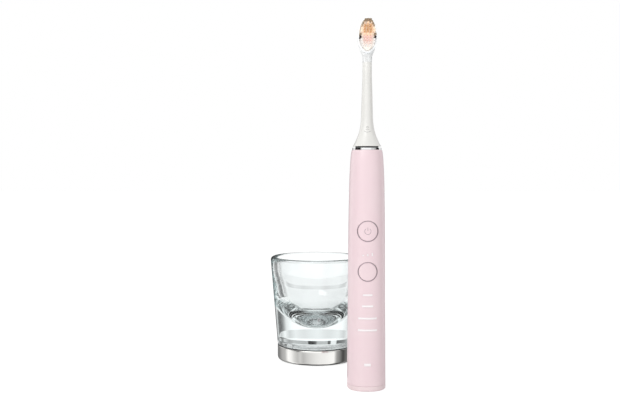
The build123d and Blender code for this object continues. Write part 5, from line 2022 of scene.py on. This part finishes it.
@dataclass
class ToneWall:
    """Curved wall of card round the object, lighter and darker by turns, for metal to show.

    Its sizes are in metres.
    """

    name: str
    low: float
    high: float
    tones: Tones
    gain: float = 1.0
    radius: float = 1.3
    # Whether it is met through glass, and not in reflections.
    through_glass: bool = False
    # Grey of the bottom that closes the wall, where it has one: a painted shadow, a dark disc that metal
    # reflects in place of the shaded floor under the object.
    painted_shadow_grey: float | None = None
    # Degrees from one of its edges to the next.
    step: float = 1.0
    # All the way round, or only from its first bearing to its last.
    closed: bool = True
    # Degrees at each end, and height above its top, over which it thins out to nothing.
    thins: Point | None = None

    def material(self) -> bpy.types.Material:
        """Card that glows in its tones, and is clear where it thins out."""
        material = bpy.data.materials.new(self.name)
        tree = cleared(material)
        tone = add_node(tree, "ShaderNodeAttribute", attribute_name="tone").outputs["Fac"]
        shade = add_node(tree, "ShaderNodeEmission", {"Color": WHITE, "Strength": tone})
        surface = shade.outputs["Emission"]
        if self.thins:
            cover = add_node(tree, "ShaderNodeAttribute", attribute_name="cover").outputs["Fac"]
            nothing = add_node(tree, "ShaderNodeBsdfTransparent").outputs[0]
            surface = add_node(tree, "ShaderNodeMixShader", {0: cover, 1: nothing, 2: surface}).outputs[0]
        add_node(tree, "ShaderNodeOutputMaterial", {"Surface": surface})
        return material

    def build(self) -> None:
        """Stand the wall up; it gives no light to what is matt, and casts no shadow."""
        ends = (-180.0, 180.0) if self.closed else (self.tones[0][0], self.tones[-1][0])
        bearings = np.arange(*ends, self.step)
        count = len(bearings)
        tones = [self.gain * grey_level(grey) for grey in np.interp(bearings, *zip(*self.tones))]
        heights, levels, covers = [self.low, self.high], tones * 2, [1.0] * count * 2
        if self.thins:
            near_end = np.minimum(bearings - ends[0], bearings[-1] - bearings)
            covers = [*np.clip(near_end / self.thins[0], 0.0, 1.0)] * 2 + [0.0] * count
            heights.append(self.high + self.thins[1])
            levels = tones * 3
        faces = []
        for row in range(0, count * (len(heights) - 1), count):
            for i in range(count if self.closed else count - 1):
                j = (i + 1) % count
                faces.append((i + row, j + row, j + count + row, i + count + row))
        # The bottom is a painted shadow: a dark disc for the metal's lower edge to reflect.
        if self.painted_shadow_grey is not None:
            faces.append(tuple(range(2 * count, 3 * count)))
            heights.append(self.low)
            levels += [grey_level(self.painted_shadow_grey)] * count
            covers += [1.0] * count
        x, y = self.radius * np.sin(np.radians(bearings)), -self.radius * np.cos(np.radians(bearings))
        points = np.vstack([np.column_stack((x, y, np.full(count, z))) for z in heights])
        wall = add_object(self.name, (points, faces), scale=1.0)
        for name, values in (("tone", levels), ("cover", covers)):
            wall.data.attributes.new(name, "FLOAT", "POINT").data.foreach_set("value", values)
        wall.data.materials.append(self.material())
        wall.visible_camera = wall.visible_diffuse = wall.visible_shadow = False
        wall.visible_transmission, wall.visible_glossy = self.through_glass, not self.through_glass
        wall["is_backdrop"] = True


@dataclass
class GlassWall(ToneWall):
    """Wall of card that only what is seen through the glass shows."""

    radius: float = 0.25
    through_glass: bool = True


# Tones of a card that stands close behind the glass on the right.
CARD = ((105, 150), (117, 125), (124, 115), (132, 180), (141, 200))


@dataclass
class Studio:
    """White room with soft light from the front left, and the camera. Its sizes are in metres."""

    lens: float = 52.26
    sensor: float = 36.0
    camera_place: tuple[float, float, float] = (-0.0052, -0.7136, 0.157)
    camera_pitch: float = 3.06
    clip: Point = (0.05, 20.0)
    # Light that the surroundings and the floor give to what is matt; the eye sees both brighter.
    air: float = 0.7
    floor_plain: float = 0.9
    floor_grey: float = 0.5
    floor_glow: float = 0.7
    floor_half: float = 4.0
    lamp_place: tuple[float, float, float] = (-0.75, -1.35, 1.0)
    lamp_size: float = 0.9
    lamp_watts: float = 11.0
    bounces: int = 32
    walls: tuple[ToneWall, ...] = (
        ToneWall(
            "near_wall", -0.1, 0.0036,
            (
                (-155, 110), (-122, 125), (-102, 171), (-88, 185), (-79, 240), (-76, 255), (-66, 246),
                (-56, 213), (-47, 190), (-40, 205), (-32, 185), (-24, 201), (-17, 212), (-10, 220),
                (-2, 228), (5, 234), (19, 239), (27, 244), (34, 248), (42, 250), (50, 158), (59, 126),
                (69, 68), (79, 107), (100, 140), (128, 120), (155, 110),
            ),
            # Dark bottom: a painted shadow under the base, for its rolled edge to reflect.
            gain=1.3, radius=0.08, painted_shadow_grey=25,
        ),
        ToneWall(
            "low_wall", -0.6, -0.25,
            ((-180, 150), (-100, 190), (-60, 235), (-30, 255), (10, 255), (50, 225), (100, 160), (180, 150)),
        ),
        ToneWall(
            "high_wall", -0.25, 0.75,
            (
                (-180, 90), (-150, 90), (-140, 235), (-108, 235), (-104, 20), (-56, 20), (-48, 180),
                (-40, 252), (25, 252), (35, 208), (50, 208), (70, 150), (75, 15), (100, 15), (106, 235),
                (140, 235), (150, 90), (180, 90),
            ),
            gain=1.35,
        ),
        GlassWall(
            "foot_wall", 0.0005, 0.011,
            both_sides((
                (0, 240), (40, 230), (60, 150), (80, 230), (100, 180), (112, 245), (120, 190), (130, 245),
                (140, 190), (150, 238), (158, 200), (165, 226), (172, 214), (180, 226),
            )),
            gain=1.3, radius=0.15,
        ),
        GlassWall("left_card", 0.0005, 0.08, mirrored(CARD), radius=0.08, closed=False, thins=(9.0, 0.04)),
        GlassWall("right_card", 0.0005, 0.08, CARD, radius=0.08, closed=False, thins=(9.0, 0.04)),
        GlassWall(
            "glass_wall", 0.0005, 0.052,
            both_sides((
                (0, 245), (36, 225), (52, 100), (67, 215), (78, 70), (87, 200), (97, 60), (106, 225),
                (112, 110), (118, 240), (124, 200), (130, 60), (137, 75), (144, 140), (150, 215),
                (158, 240), (165, 247), (180, 247),
            )),
            gain=1.35,
        ),
        GlassWall(
            "glass_wall_band", 0.052, 0.09,
            (
                (-180, 195), (-172, 200), (-171.5, 90), (-169.5, 90), (-169, 252), (-164, 252),
                (-163, 110), (-153, 150), (-144, 225), (-137, 120), (-130, 235), (-112, 160), (-97, 235),
                (-78, 120), (-60, 235), (0, 245), (60, 235), (78, 120), (97, 235), (112, 160), (130, 235),
                (137, 120), (144, 225), (153, 160), (160, 200), (173, 190), (173.6, 25), (176.6, 35),
                (179.3, 120), (180, 190),
            ),
            step=0.5,
        ),
        GlassWall(
            "glass_wall_upper", 0.09, 0.3,
            both_sides((
                (0, 150), (30, 200), (55, 90), (75, 200), (95, 60), (115, 235), (126, 170), (138, 60),
                (150, 150), (160, 240), (180, 245),
            )),
            gain=1.1,
        ),
        GlassWall("glass_wall_top", 0.3, 0.45, ((-180, 70), (180, 70)), step=15.0),
    )

    def build_camera(self) -> None:
        """Camera a little above the object's middle, pitched slightly down."""
        data = bpy.data.cameras.new("camera")
        data.lens, data.sensor_width = self.lens, self.sensor
        data.clip_start, data.clip_end = self.clip
        camera = bpy.data.objects.new("camera", data)
        camera.location = self.camera_place
        camera.rotation_euler = (math.radians(90 - self.camera_pitch), 0, 0)
        bpy.context.scene.collection.objects.link(camera)
        bpy.context.scene.camera = camera

    def seen(self, tree: Tree) -> Socket:
        """Tell what the eye sees from the light that is given to what is matt.

        Args:
            tree: node tree that gets the nodes.

        Returns:
            One for rays from the camera, a reflection or through glass; nought for the rest.
        """
        path = add_node(tree, "ShaderNodeLightPath").outputs
        found = path["Is Camera Ray"]
        for ray in ("Is Glossy Ray", "Is Transmission Ray"):
            found = add_node(tree, "ShaderNodeMath", {0: found, 1: path[ray]}, operation="MAXIMUM").outputs[0]
        return found

    def build_air(self) -> None:
        """White surroundings for the eye, metal and glass; a softer level for the light they give."""
        world = bpy.data.worlds.new("white_room")
        bpy.context.scene.world = world
        tree = cleared(world)
        given, white = (
            add_node(tree, "ShaderNodeBackground", {"Color": WHITE, "Strength": strength}).outputs[0]
            for strength in (self.air, 1.0)
        )
        mixed = add_node(tree, "ShaderNodeMixShader", {0: self.seen(tree), 1: given, 2: white})
        add_node(tree, "ShaderNodeOutputWorld", {"Surface": mixed.outputs[0]})

    def build_floor(self) -> None:
        """Pale floor that reads white and keeps the object's shadow."""
        material = bpy.data.materials.new("matt_white_paper")
        tree = cleared(material)
        plain, paper = (
            add_node(tree, "ShaderNodeBsdfDiffuse", {"Color": (grey, grey, grey, 1.0)}).outputs[0]
            for grey in (self.floor_plain, self.floor_grey)
        )
        glow = add_node(tree, "ShaderNodeEmission", {"Color": WHITE, "Strength": self.floor_glow}).outputs[0]
        lit = add_node(tree, "ShaderNodeAddShader", {0: paper, 1: glow}).outputs[0]
        mixed = add_node(tree, "ShaderNodeMixShader", {0: self.seen(tree), 1: plain, 2: lit})
        add_node(tree, "ShaderNodeOutputMaterial", {"Surface": mixed.outputs[0]})
        half = self.floor_half
        corners = np.array([(-half, -half, 0.0), (half, -half, 0.0), (half, half, 0.0), (-half, half, 0.0)])
        floor = add_object("floor", (corners, [(0, 1, 2, 3)]), scale=1.0)
        floor.data.materials.append(material)
        floor.visible_glossy = False
        floor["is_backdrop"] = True

    def build_lamp(self) -> None:
        """Square soft lamp at the front left, which faces the object."""
        data = bpy.data.lights.new("key_softbox", "AREA")
        data.shape, data.size, data.energy = "SQUARE", self.lamp_size, self.lamp_watts
        lamp = bpy.data.objects.new("key_softbox", data)
        lamp.location = self.lamp_place
        aim = lamp.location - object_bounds()[1] / 2
        lamp.rotation_euler = aim.to_track_quat("Z", "Y").to_euler()
        bpy.context.scene.collection.objects.link(lamp)

    def build(self) -> None:
        """Set up camera, air, floor, cards and lamp."""
        bpy.context.scene.view_settings.view_transform = "Standard"
        # Light is trapped in the thick wall of the glass and turns many times before it leaves.
        cycles = bpy.context.scene.cycles
        cycles.max_bounces = cycles.glossy_bounces = cycles.transmission_bounces = self.bounces
        self.build_camera()
        self.build_air()
        self.build_floor()
        for wall in self.walls:
            wall.build()
        self.build_lamp()


def main() -> None:
    """Build the studio and every assembly, in order."""
    logging.basicConfig(level=logging.INFO, format="%(message)s")
    head = BrushHead()
    bristles = BristleField(head)
    charger = (ChargingBase(), Tumbler())
    for assembly in (Studio(), Handle(), DriveShaft(), head, bristles, *charger, InnerWorks()):
        assembly.build()
        log.info("%s built", type(assembly).__name__)


if __name__ == "__main__":
    main()
